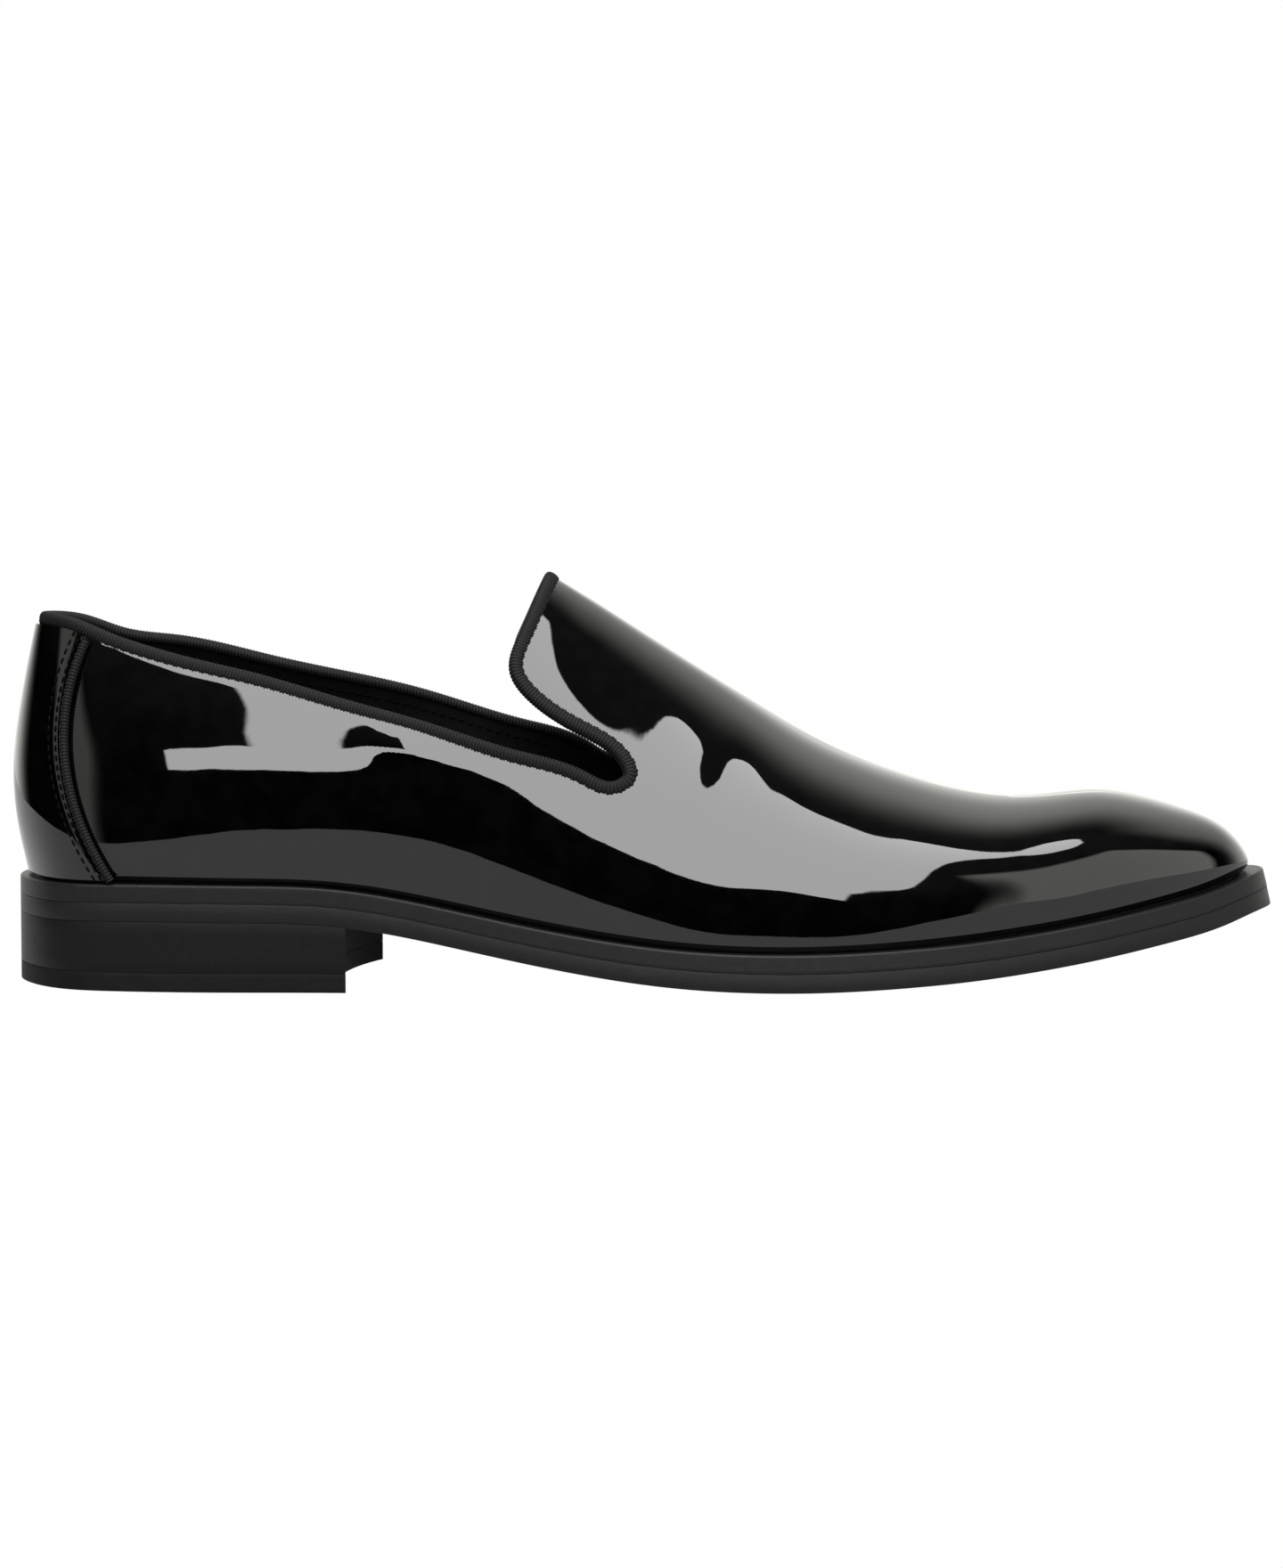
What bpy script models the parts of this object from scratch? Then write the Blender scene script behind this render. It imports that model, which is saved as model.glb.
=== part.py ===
"""Patent leather slip-on dress shoe for the right foot.

A hollow upper on a last, its bound topline, a heel counter with corded seams, an insole,
a welt, an outsole and a stacked heel. Tables are in millimetres: x runs from the back of
the sole to the toe, y from the outer side (minus) to the inner side, and the floor is z = 0.
"""

import math

import bmesh
import bpy
import numpy as np

MM = 0.001
WELD = 1e-6
GAP = 0.3

# Length of the last along the feather line, where the upper meets the welt
FEATHER_BACK = 3.2
FEATHER_TIP = 297.6
HALF_LENGTH = (FEATHER_TIP - FEATHER_BACK) / 2
HEEL_RADIUS = 28.5
TOE_RADIUS = 14.0
TOE_FRONT_RADIUS = 7.0
TOE_TIP_SHIFT = 4.5

# Half widths of the feather line, side shift of the ridge, fullness of the section and how far
# the wall tucks in above the welt
LAST_COLUMNS = ("x", "outer", "inner", "ridge", "fullness", "tuck")
LAST_ROWS = (
    (12, 21.0, 21.0, 0.0, 1.05, 0.13),
    (25, 27.6, 27.4, 0.0, 1.08, 0.14),
    (45, 30.4, 29.8, 0.0, 1.2, 0.15),
    (70, 30.7, 28.8, 0.0, 1.27, 0.146),
    (90, 31.7, 27.2, 0.4, 1.39, 0.141),
    (110, 34.0, 26.4, 1.0, 1.45, 0.124),
    (130, 37.8, 28.0, 2.0, 1.53, 0.091),
    (150, 41.8, 31.6, 3.0, 1.64, 0.052),
    (170, 45.0, 37.0, 4.0, 1.95, 0.005),
    (190, 46.3, 42.0, 4.6, 2.5, -0.012),
    (205, 45.7, 43.8, 4.8, 2.5, -0.008),
    (220, 43.6, 43.7, 4.8, 2.58, 0.004),
    (240, 38.0, 40.6, 4.8, 2.95, 0.012),
    (260, 31.2, 35.6, 4.6, 3.25, 0.015),
    (275, 22.8, 29.4, 4.5, 3.35, 0.013),
    (288, 12.4, 20.4, 4.5, 3.35, 0.011),
)

# Height of the ridge along the vamp; behind the tongue the form goes on as a dome that is cut off
RIDGE_COLUMNS = ("x", "z")
RIDGE_ROWS = (
    (30, 99.5), (60, 95.5), (90, 97.5), (110, 104.0), (128.7, 96.9), (152, 82.2), (178, 66.0),
    (193, 57.2), (209, 50.4), (225, 45.6), (240, 43.3), (250, 43.9), (260.5, 44.8), (271, 43.4),
    (281, 40.5), (291.5, 35.6),
)

# Lower edge of the outsole along its rim, which rises at the waist and at the toe
RIM_COLUMNS = ("x", "z")
RIM_ROWS = (
    (0, 16.4), (30, 16.7), (55, 16.6), (75, 16.0), (90, 14.1), (105, 11.2), (120, 8.2),
    (137, 5.3), (155, 3.1), (175, 2.1), (195, 2.3), (215, 3.4), (235, 5.1), (255, 7.8),
    (275, 11.2), (290, 14.3), (303, 17.2),
)

# The tread bulges down between its rims under the ball of the foot, flat where it meets the floor
BALL_X = 185
BALL_SPAN = 95
BALL_BULGE = 3.2

OUTSOLE = 4.4
WELT = 4.3
INSOLE_ABOVE_WELT = 1.5
WALL = 2.0

# How far the sole stands out from the feather line, and how far its edge slopes in going up
EDGE_COLUMNS = ("x", "margin", "slope")
EDGE_ROWS = (
    (3.2, 3.2, 0.0), (20, 2.4, 0.0), (60, 1.9, 0.0), (110, 2.3, 0.2), (150, 2.9, 0.6),
    (190, 3.5, 0.9), (240, 3.9, 1.2), (280, 4.6, 1.6), (297.6, 5.3, 1.8),
)

# Back curve of the heel: how far forward of the feather line it stands at each height
BACK_COLUMNS = ("z", "forward")
BACK_ROWS = ((20, 1.2), (26, 0.0), (34.5, -1.9), (48.7, -3.4), (68, -1.3), (86.6, 2.5), (125, 12.5))
BACK_REACH = 58

# Topline at the middle of its binding, seen from the outer side, from the back seam to the tongue,
# and how much it climbs from side to side towards the inner side
TOPLINE_COLUMNS = ("x", "z", "climb")
TOPLINE_ROWS = (
    (5.8, 87.0, -0.02), (13.5, 86.3, -0.015), (23.7, 82.8, -0.015), (36.6, 78.9, 0.028),
    (58.4, 73.6, 0.033), (78, 68.0, 0.058), (96.8, 63.2, 0.054), (121, 56.1, 0.04),
    (136.6, 51.4, 0.025), (143.6, 49.1, 0.02), (147.2, 51.2, 0.02), (146, 55.4, 0.02),
    (136.5, 62.1, 0.01), (124.5, 70.0, 0.0), (120.4, 76.0, 0.0), (122.2, 83.2, 0.0),
    (126.1, 91.8, 0.0), (128.6, 96.9, 0.0),
)
BINDING_HEIGHT = 3.0
BINDING_WIDTH = 3.2
TOPLINE_STEPS = 72

# Seam of the heel counter: a bow that is furthest back at the waist of the heel
SEAM_BACK_X = 13.6
SEAM_WAIST_Z = 60
SEAM_BOW = 0.0098
PIPING_RADIUS = 1.05
PIPING_TOP = 82.0
PIPING_STEPS = 11
COUNTER_THICKNESS = 0.9
COUNTER_FRONT = 45
COUNTER_FOOT = 0.6

# Heel: its front is a hollow arc that runs further forward on the inner side
HEEL_TOP_LIFT = 4.5
BREAST_OUTER_X = 80.0
BREAST_INNER_X = 87.3
BREAST_HALF_WIDTH = 32
BREAST_HOLLOW = 6.0
HEEL_FRONT = 100

LAST_STEPS = 41
SECTION_STEPS = 28
SOLE_STEPS = 33
SOLE_COLUMNS = 6
ROUND_STEPS = 8

# Base colour and roughness of each material
PATENT = ("patent_leather", (0.008, 0.008, 0.008), 0.05)
RIBBON = ("grosgrain_ribbon", (0.014, 0.014, 0.014), 0.7)
SOCK = ("sock_leather", (0.012, 0.012, 0.012), 0.6)
EDGE = ("welt_edge", (0.03, 0.03, 0.03), 0.5)
TREAD = ("outsole_leather", (0.022, 0.022, 0.022), 0.5)
STACK = ("heel_stack", (0.022, 0.022, 0.022), 0.45)
RUBBER = ("top_lift_rubber", (0.018, 0.018, 0.018), 0.7)


def column(rows, names, name):
    place = names.index(name)
    return np.array([row[place] for row in rows], float)


def spline(knots, values, start_slope=None, end_slope=None):
    """Cubic curve through the values; an end with no slope given is free of bending."""
    knots = np.asarray(knots, float)
    values = np.asarray(values, float)
    step = np.diff(knots)
    rise = np.diff(values) / step
    size = len(knots)
    matrix = np.eye(size)
    right = np.zeros(size)
    for i in range(1, size - 1):
        matrix[i, i - 1:i + 2] = step[i - 1], 2 * (step[i - 1] + step[i]), step[i]
        right[i] = 6 * (rise[i] - rise[i - 1])
    if start_slope is not None:
        matrix[0, :2] = 2 * step[0], step[0]
        right[0] = 6 * (rise[0] - start_slope)
    if end_slope is not None:
        matrix[-1, -2:] = step[-1], 2 * step[-1]
        right[-1] = 6 * (end_slope - rise[-1])
    bend = np.linalg.solve(matrix, right)

    def curve(at):
        at = np.clip(at, knots[0], knots[-1])
        i = np.clip(np.searchsorted(knots, at) - 1, 0, size - 2)
        before = at - knots[i]
        after = knots[i + 1] - at
        straight = (values[i] * after + values[i + 1] * before) / step[i]
        low = bend[i] * after * (after ** 2 - step[i] ** 2)
        high = bend[i + 1] * before * (before ** 2 - step[i] ** 2)
        return straight + (low + high) / (6 * step[i])

    return curve


def table_curve(rows, names, key, name):
    return spline(column(rows, names, key), column(rows, names, name), 0, 0)


def angle_at(x):
    """Angle of a station: 0 at the heel, pi at the toe, so that both ends close round."""
    return np.arccos(np.clip(1 - (np.asarray(x, float) - FEATHER_BACK) / HALF_LENGTH, -1, 1))


def station(angle):
    return FEATHER_BACK + HALF_LENGTH * (1 - np.cos(angle))


def rounded_width(half_widths):
    angles = angle_at(column(LAST_ROWS, LAST_COLUMNS, "x"))
    ends = math.sqrt(HEEL_RADIUS * HALF_LENGTH), math.sqrt(TOE_RADIUS * HALF_LENGTH)
    shape = np.concatenate(([ends[0]], half_widths / np.sin(angles), [ends[1]]))
    return spline(np.concatenate(([0], angles, [math.pi])), shape, 0, 0)


rim = table_curve(RIM_ROWS, RIM_COLUMNS, "x", "z")
edge_margin = table_curve(EDGE_ROWS, EDGE_COLUMNS, "x", "margin")
edge_slope = table_curve(EDGE_ROWS, EDGE_COLUMNS, "x", "slope")
back_curve = spline(column(BACK_ROWS, BACK_COLUMNS, "z"), column(BACK_ROWS, BACK_COLUMNS, "forward"))
last_x = column(LAST_ROWS, LAST_COLUMNS, "x")
ridge_shift = column(LAST_ROWS, LAST_COLUMNS, "ridge")
last_tuck = column(LAST_ROWS, LAST_COLUMNS, "tuck")
fullness = table_curve(LAST_ROWS, LAST_COLUMNS, "x", "fullness")
tuck = table_curve(LAST_ROWS, LAST_COLUMNS, "x", "tuck")
ridge = spline(np.append(last_x, FEATHER_TIP), np.append(ridge_shift, TOE_TIP_SHIFT), 0, 0)
outer_width = rounded_width((column(LAST_ROWS, LAST_COLUMNS, "outer") + ridge_shift) / (1 - last_tuck))
inner_width = rounded_width((column(LAST_ROWS, LAST_COLUMNS, "inner") - ridge_shift) / (1 - last_tuck))


def feather(x):
    return rim(x) + OUTSOLE + WELT + 2 * GAP


def ridge_height():
    x = column(RIDGE_ROWS, RIDGE_COLUMNS, "x")
    angles = angle_at(x)
    heights = (column(RIDGE_ROWS, RIDGE_COLUMNS, "z") - feather(x)) / np.cos(angles / 2)
    toe = 2 * math.sqrt(TOE_FRONT_RADIUS * HALF_LENGTH)
    return spline(np.append(angles, math.pi), np.append(heights, toe), end_slope=0)


dome = ridge_height()


def height(angle):
    return np.cos(angle / 2) * dome(angle)


def back_fade(x):
    along = np.clip((x - FEATHER_BACK) / BACK_REACH, 0, 1)
    return (1 - along) ** 2 * (1 + 2 * along)


def last_surface(angle, turn):
    """Point of the last: turn runs from -1 at the outer feather line over the ridge to 1."""
    angle, turn = np.broadcast_arrays(np.asarray(angle, float), np.asarray(turn, float))
    x = station(angle)
    up = np.clip(np.cos(math.pi / 2 * turn), 0, 1)
    across = np.sign(turn) * np.sqrt(np.clip(1 - up ** fullness(x), 0, 1))
    outer = np.sin(angle) * outer_width(angle)
    inner = np.sin(angle) * inner_width(angle)
    swell = (inner + outer) / 2 * across + (inner - outer) / 2 * across ** 2
    y = ridge(x) + swell * (1 - tuck(x) * (1 - up) ** 3)
    z = feather(x) + height(angle) * up
    return np.stack([x + back_curve(z) * back_fade(x), y, z], -1)


def last_normal(angle, turn):
    """Outward direction, taken a little inside the two ends where the sections close up."""
    angle, turn = np.broadcast_arrays(np.asarray(angle, float), np.asarray(turn, float))
    inset = 0.02
    reach = 1e-4
    at = np.clip(angle, inset, math.pi - inset)
    side = np.clip(turn, -1 + reach, 1 - reach)
    along = last_surface(at + reach, side) - last_surface(at - reach, side)
    over = last_surface(at, side + reach) - last_surface(at, side - reach)
    normal = np.cross(along, over)
    normal = np.where((angle < inset)[..., None], normal * (1, 0, 1), normal)
    normal = np.where((angle > math.pi - inset)[..., None], (1.0, 0.0, 0.0), normal)
    return normal / np.linalg.norm(normal, axis=-1, keepdims=True)


def offset_surface(angle, turn, distance):
    return last_surface(angle, turn) + distance * last_normal(angle, turn)


def place_on_side(x, z, side):
    """Angle and turn of the point of the last that a side view shows at x, z."""
    base = np.asarray(x, float)
    for _ in range(30):
        base = x - back_curve(z) * back_fade(base)
    angle = angle_at(base)
    up = np.clip((z - feather(station(angle))) / height(angle), 0, 1)
    return angle, side * np.arccos(up) * 2 / math.pi


def sole_outline(angle, side, margin):
    """Plan of the feather line, moved outwards by a margin."""
    reach = 1e-4
    turn = np.full_like(angle, side)
    point = last_surface(angle, turn)[:, :2]
    ahead = last_surface(np.clip(angle + reach, 0, math.pi), turn)[:, :2]
    behind = last_surface(np.clip(angle - reach, 0, math.pi), turn)[:, :2]
    along = ahead - behind
    out = -side * np.stack([along[:, 1], -along[:, 0]], -1)
    out /= np.linalg.norm(out, axis=-1, keepdims=True)
    out[angle < reach] = -1, 0
    out[angle > math.pi - reach] = 1, 0
    return point + np.reshape(margin, (-1, 1)) * out


def tread(x, across):
    """Lower face of the outsole: across is 0 on the middle line and 1 at the rim."""
    bulge = BALL_BULGE * np.clip(1 - ((x - BALL_X) / BALL_SPAN) ** 2, 0, 1) ** 2
    return np.maximum(0, rim(x) - bulge * (1 - across ** 2))


def loft(name, sections, material, closed=False, caps=(False, False)):
    """Solid over a grid of sections, each a ring of points; closed joins the last to the first."""
    sections = np.asarray(sections, float)
    rows, ring = sections.shape[:2]
    faces = []
    for i in range(rows if closed else rows - 1):
        here = i * ring
        there = (i + 1) % rows * ring
        for j in range(ring):
            k = (j + 1) % ring
            faces.append((here + j, here + k, there + k, there + j))
    if caps[0]:
        faces.append(tuple(range(ring)))
    if caps[1]:
        faces.append(tuple(range((rows - 1) * ring, rows * ring)))
    mesh = bpy.data.meshes.new(name)
    mesh.from_pydata((sections.reshape(-1, 3) * MM).tolist(), [], faces)
    work = bmesh.new()
    work.from_mesh(mesh)
    bmesh.ops.remove_doubles(work, verts=work.verts, dist=WELD)
    bmesh.ops.dissolve_degenerate(work, dist=WELD, edges=work.edges)
    bmesh.ops.recalc_face_normals(work, faces=work.faces)
    work.to_mesh(mesh)
    work.free()
    mesh.shade_smooth()
    mesh.set_sharp_from_angle(angle=math.radians(40))
    made = bpy.data.objects.new(name, mesh)
    bpy.context.collection.objects.link(made)
    made.parent = bpy.data.objects["dress_shoe"]
    if material:
        mesh.materials.append(surface_material(*material))
    else:
        made.hide_render = True
        made.display_type = "WIRE"
    return made


def surface_material(name, colour, roughness):
    if name in bpy.data.materials:
        return bpy.data.materials[name]
    material = bpy.data.materials.new(name)
    material.use_nodes = True
    shader = material.node_tree.nodes["Principled BSDF"]
    shader.inputs["Base Color"].default_value = (*colour, 1)
    shader.inputs["Roughness"].default_value = roughness
    shader.inputs["Metallic"].default_value = 0
    return material


def cut(target, cutter, operation="DIFFERENCE"):
    modifier = target.modifiers.new(cutter.name, "BOOLEAN")
    modifier.operation = operation
    modifier.solver = "EXACT"
    modifier.object = cutter


def last_form(name, distance, material, front=FEATHER_TIP, below=0.0):
    """The last grown or shrunk by a distance, from the heel to a station, closed underneath."""
    steps = max(8, round(LAST_STEPS * float(angle_at(front)) / math.pi))
    angles = np.linspace(0, float(angle_at(front)), steps + 1)
    turns = np.linspace(-1, 1, SECTION_STEPS + 1)
    grid = offset_surface(angles[:, None], turns[None, :], distance)
    if below:
        drop = np.array([0, 0, -below])
        grid = np.concatenate([grid[:, :1] + drop, grid, grid[:, -1:] + drop], 1)
    return loft(name, grid, material, caps=(False, front < FEATHER_TIP))


def side_prism(name, outline):
    """Cutter through the shoe from side to side: x, z and side climb of each point of its outline."""
    reach = 90
    sides = []
    for y in (-reach, reach):
        ring = [(x, y, z + climb * y) for x, z, climb in outline]
        sides.append(ring)
    return loft(name, sides, None, caps=(True, True))


def topline():
    """Curves of x, z on the middle plane and side climb over the length of the topline."""
    x, z, climb = (column(TOPLINE_ROWS, TOPLINE_COLUMNS, name) for name in TOPLINE_COLUMNS)
    points = last_surface(*place_on_side(x, z, -1))
    knots = np.append(0, np.cumsum(np.linalg.norm(np.diff(points, axis=0), axis=1)))
    middle = z - climb * points[:, 1]
    return [spline(knots, values, 0, 0) for values in (x, middle, climb)], knots[-1]


def topline_on_side(side, share):
    """Angle and turn of the topline's points on one side at shares of its length."""
    curves, length = topline()
    x, level, climb = (curve(share * length) for curve in curves)
    z = level
    for _ in range(6):
        angle, turn = place_on_side(x, z, side)
        z = level + climb * last_surface(angle, turn)[..., 1]
    return angle, turn


def opening_outline(clearance):
    """Side view of the opening, kept a clearance below the middle of the binding."""
    curves, length = topline()
    along = np.linspace(0.002, 0.998, 150) * length
    reach = 0.001 * length
    x, z, climb = (curve(along) for curve in curves)
    slope_x, slope_z = (curve(along + reach) - curve(along - reach) for curve in curves[:2])
    run = np.hypot(slope_x, slope_z)
    x = x + clearance * slope_z / run
    z = z - clearance * slope_x / run
    behind, above = -40, 160
    steps_up = (above - z[-1]) / slope_z[-1]
    corner = (x[-1] + slope_x[-1] * steps_up, above, 0)
    return [(behind, above, 0), (behind, z[0], climb[0]), *zip(x, z, climb), corner]


def make_upper():
    upper = last_form("upper", 0, PATENT)
    cut(upper, last_form("upper_inside", -WALL, None, below=8))
    cut(upper, side_prism("upper_opening", opening_outline(BINDING_HEIGHT / 2 + 2 * GAP)))


def make_binding():
    """Ribbon folded over the topline, a rounded bead that rings the collar and the tongue."""
    share = np.linspace(0, 1, TOPLINE_STEPS + 1)
    outer = topline_on_side(-1, share)
    inner = topline_on_side(1, share[1:-1][::-1])
    angle = np.concatenate([outer[0], inner[0]])
    turn = np.concatenate([outer[1], inner[1]])
    normal = last_normal(angle, turn)
    path = last_surface(angle, turn) - normal * WALL / 2
    ahead = np.roll(path, -1, 0) - np.roll(path, 1, 0)
    ahead /= np.linalg.norm(ahead, axis=1, keepdims=True)
    edge = np.cross(ahead, normal)
    edge /= np.linalg.norm(edge, axis=1, keepdims=True)
    sections = []
    for k in range(ROUND_STEPS):
        turned = 2 * math.pi * k / ROUND_STEPS
        out = math.cos(turned) * BINDING_WIDTH / 2
        up = math.sin(turned) * BINDING_HEIGHT / 2
        sections.append(path + out * normal + up * edge)
    loft("binding", np.stack(sections, 1), RIBBON, closed=True)


def seam_x(z):
    return SEAM_BACK_X + SEAM_BOW * (z - SEAM_WAIST_Z) ** 2


def make_counter():
    """Heel counter, cut between two forms of the last and ended behind its seams."""
    low = float(feather(FEATHER_BACK)) + COUNTER_FOOT
    counter = last_form("counter", GAP + COUNTER_THICKNESS, PATENT, COUNTER_FRONT, 6)
    cut(counter, last_form("counter_inside", GAP, None, COUNTER_FRONT + 3, 9))
    heights = np.linspace(low, 100, 25)
    edge = [(seam_x(z) - PIPING_RADIUS - 2 * GAP, z, 0) for z in heights]
    cut(counter, side_prism("counter_shape", [(-40, low, 0), *edge, (-40, 100, 0)]), "INTERSECT")
    cut(counter, side_prism("counter_top", opening_outline(BINDING_HEIGHT / 2 + 3 * GAP)))


def make_piping(name, side):
    """Ribbon cord that lies along the front edge of the counter."""
    low = float(feather(FEATHER_BACK)) + COUNTER_FOOT
    z = np.linspace(low, PIPING_TOP, PIPING_STEPS + 1)
    angle, turn = place_on_side(seam_x(z), z, side)
    normal = last_normal(angle, turn)
    path = last_surface(angle, turn) + normal * (GAP + PIPING_RADIUS)
    ahead = np.gradient(path, axis=0)
    ahead /= np.linalg.norm(ahead, axis=1, keepdims=True)
    across = np.cross(ahead, normal)
    sections = []
    for k in range(ROUND_STEPS):
        turned = 2 * math.pi * k / ROUND_STEPS
        sections.append(path + PIPING_RADIUS * (math.cos(turned) * normal + math.sin(turned) * across))
    loft(name, np.stack(sections, 1), RIBBON, caps=(True, True))


def plate(name, material, margins, levels, front=None):
    """Layer of the sole: margins and levels are given for its lower and upper face."""
    last_angle = math.pi if front is None else float(angle_at(front))
    steps = max(8, round(SOLE_STEPS * last_angle / math.pi))
    angles = np.linspace(0, last_angle, steps + 1)
    across = np.linspace(-1, 1, SOLE_COLUMNS + 1)
    faces = []
    for margin, level in zip(margins, levels):
        outer = sole_outline(angles, -1, margin(station(angles)))
        inner = sole_outline(angles, 1, margin(station(angles)))
        share = (across[None, :, None] + 1) / 2
        plan = outer[:, None] * (1 - share) + inner[:, None] * share
        z = level(plan[..., 0], across[None, :])
        faces.append(np.concatenate([plan, z[..., None]], -1))
    ring = np.concatenate([faces[0], faces[1][:, ::-1]], 1)
    return loft(name, ring, material, caps=(False, front is not None))


def make_welt():
    """Strip that the upper stands on, all round the shoe, flush with the edge of the outsole."""
    angles = np.linspace(0, math.pi, SOLE_STEPS + 1)
    x = station(angles)
    low = OUTSOLE + GAP
    inside = -WALL - GAP
    corners = (
        (edge_margin(x) - edge_slope(x) / 2, low),
        (edge_margin(x) - edge_slope(x), low + WELT),
        (np.full_like(x, inside), low + WELT),
        (np.full_like(x, inside), low),
    )
    rings = []
    for side, order in ((-1, slice(None)), (1, slice(-2, 0, -1))):
        section = []
        for margin, above in corners:
            plan = sole_outline(angles, side, margin)
            z = rim(plan[:, 0]) + above
            section.append(np.column_stack([plan, z]))
        rings.append(np.stack(section, 1)[order])
    loft("welt", np.concatenate(rings), EDGE, closed=True)


def make_sole():
    def lower_margin(x):
        return edge_margin(x)

    def upper_margin(x):
        return edge_margin(x) - edge_slope(x) / 2

    def insole_margin(x):
        return np.full_like(x, -WALL - 2 * GAP)

    def lower_face(x, across):
        return tread(x, across)

    def upper_face(x, across):
        return tread(x, across) + OUTSOLE

    def insole_lower(x, across):
        return tread(x, across) + OUTSOLE + GAP

    def insole_upper(x, across):
        return tread(x, across) + OUTSOLE + WELT + GAP + INSOLE_ABOVE_WELT

    plate("outsole", TREAD, (lower_margin, upper_margin), (lower_face, upper_face))
    plate("insole", SOCK, (insole_margin, insole_margin), (insole_lower, insole_upper))


def breast_cutter(name):
    """Upright round form whose side hollows the front of the heel."""
    half_chord = math.hypot(BREAST_HALF_WIDTH, (BREAST_INNER_X - BREAST_OUTER_X) / 2)
    radius = (half_chord ** 2 + BREAST_HOLLOW ** 2) / (2 * BREAST_HOLLOW)
    skew = math.atan2((BREAST_INNER_X - BREAST_OUTER_X) / 2, BREAST_HALF_WIDTH)
    middle = (BREAST_INNER_X + BREAST_OUTER_X) / 2
    centre_x = middle + (radius - BREAST_HOLLOW) * math.cos(skew)
    centre_y = -(radius - BREAST_HOLLOW) * math.sin(skew)
    rings = []
    for z in (-20, 60):
        turns = np.linspace(0, 2 * math.pi, 97)[:-1]
        ring = np.column_stack([
            centre_x + radius * np.cos(turns), centre_y + radius * np.sin(turns), np.full_like(turns, z)])
        rings.append(ring)
    return loft(name, rings, None, caps=(True, True))


def make_heel():
    def floor(x, across):
        return np.zeros(np.broadcast(x, across).shape)

    def lift_top(x, across):
        return floor(x, across) + HEEL_TOP_LIFT

    def stack_bottom(x, across):
        return floor(x, across) + HEEL_TOP_LIFT + GAP

    def stack_top(x, across):
        return tread(x, across) - GAP

    margins = (edge_margin, edge_margin)
    breast = breast_cutter("heel_breast")
    block = plate("heel_block", STACK, margins, (stack_bottom, stack_top), HEEL_FRONT)
    cut(block, breast)
    lift = plate("heel_top_lift", RUBBER, margins, (floor, lift_top), HEEL_FRONT)
    cut(lift, breast)


def centre_on_floor(root):
    """Put the middle of the whole shoe's box over the origin."""
    bpy.context.view_layer.update()
    graph = bpy.context.evaluated_depsgraph_get()
    points = []
    for made in bpy.data.objects:
        if made.type == "MESH" and not made.hide_render:
            for vertex in made.evaluated_get(graph).data.vertices:
                points.append(tuple(vertex.co))
    points = np.array(points)
    middle = (points.min(0) + points.max(0)) / 2
    root.location = (-middle[0], -middle[1], 0)


def main():
    for old in list(bpy.data.objects):
        bpy.data.objects.remove(old)
    root = bpy.data.objects.new("dress_shoe", None)
    bpy.context.collection.objects.link(root)
    make_upper()
    make_binding()
    make_counter()
    make_piping("piping_outer", -1)
    make_piping("piping_inner", 1)
    make_sole()
    make_welt()
    make_heel()
    centre_on_floor(root)


main()
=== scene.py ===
"""Looks of a black patent leather slip-on dress shoe for the right foot.

Every CAD node is shown by a finer piece of the same form. Tables are in millimetres: x runs from
the back of the sole to the toe, y from the outer side (minus) to the inner side, the floor is z = 0.
"""

import math

import bmesh
import bpy
import numpy as np
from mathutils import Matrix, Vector, geometry


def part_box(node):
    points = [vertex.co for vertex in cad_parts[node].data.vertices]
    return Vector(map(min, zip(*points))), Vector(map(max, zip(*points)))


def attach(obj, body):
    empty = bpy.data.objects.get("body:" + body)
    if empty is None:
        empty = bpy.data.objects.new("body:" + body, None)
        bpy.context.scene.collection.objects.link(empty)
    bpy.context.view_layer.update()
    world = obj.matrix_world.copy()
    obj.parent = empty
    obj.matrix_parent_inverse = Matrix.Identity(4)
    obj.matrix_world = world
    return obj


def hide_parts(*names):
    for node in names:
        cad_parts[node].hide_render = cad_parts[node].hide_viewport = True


MM = 0.001
GAP = 0.3
SEAM = 0.05
WELD = 1e-6

# Length of the last along the feather line, where the upper meets the welt
FEATHER_BACK = 3.2
FEATHER_TIP = 297.6
HALF_LENGTH = (FEATHER_TIP - FEATHER_BACK) / 2
HEEL_RADIUS = 28.5
TOE_RADIUS = 14.0
TOE_FRONT_RADIUS = 7.0
TOE_TIP_SHIFT = 4.5

# Half widths of the feather line, side shift of the ridge, fullness of the section and how far
# the wall tucks in above the welt
LAST_COLUMNS = ("x", "outer", "inner", "ridge", "fullness", "tuck")
LAST_ROWS = (
    (12, 21.0, 21.0, 0.0, 1.05, 0.13),
    (25, 27.6, 27.4, 0.0, 1.08, 0.14),
    (45, 30.4, 29.8, 0.0, 1.2, 0.15),
    (70, 30.7, 28.8, 0.0, 1.27, 0.146),
    (90, 31.7, 27.2, 0.4, 1.39, 0.141),
    (110, 34.0, 26.4, 1.0, 1.45, 0.124),
    (130, 37.8, 28.0, 2.0, 1.53, 0.091),
    (150, 41.8, 31.6, 3.0, 1.64, 0.052),
    (170, 45.0, 37.0, 4.0, 1.95, 0.005),
    (190, 46.3, 42.0, 4.6, 2.5, -0.012),
    (205, 45.7, 43.8, 4.8, 2.5, -0.008),
    (220, 43.6, 43.7, 4.8, 2.58, 0.004),
    (240, 38.0, 40.6, 4.8, 2.95, 0.012),
    (260, 31.2, 35.6, 4.6, 3.25, 0.015),
    (275, 22.8, 29.4, 4.5, 3.35, 0.013),
    (288, 12.4, 20.4, 4.5, 3.35, 0.011),
)

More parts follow.
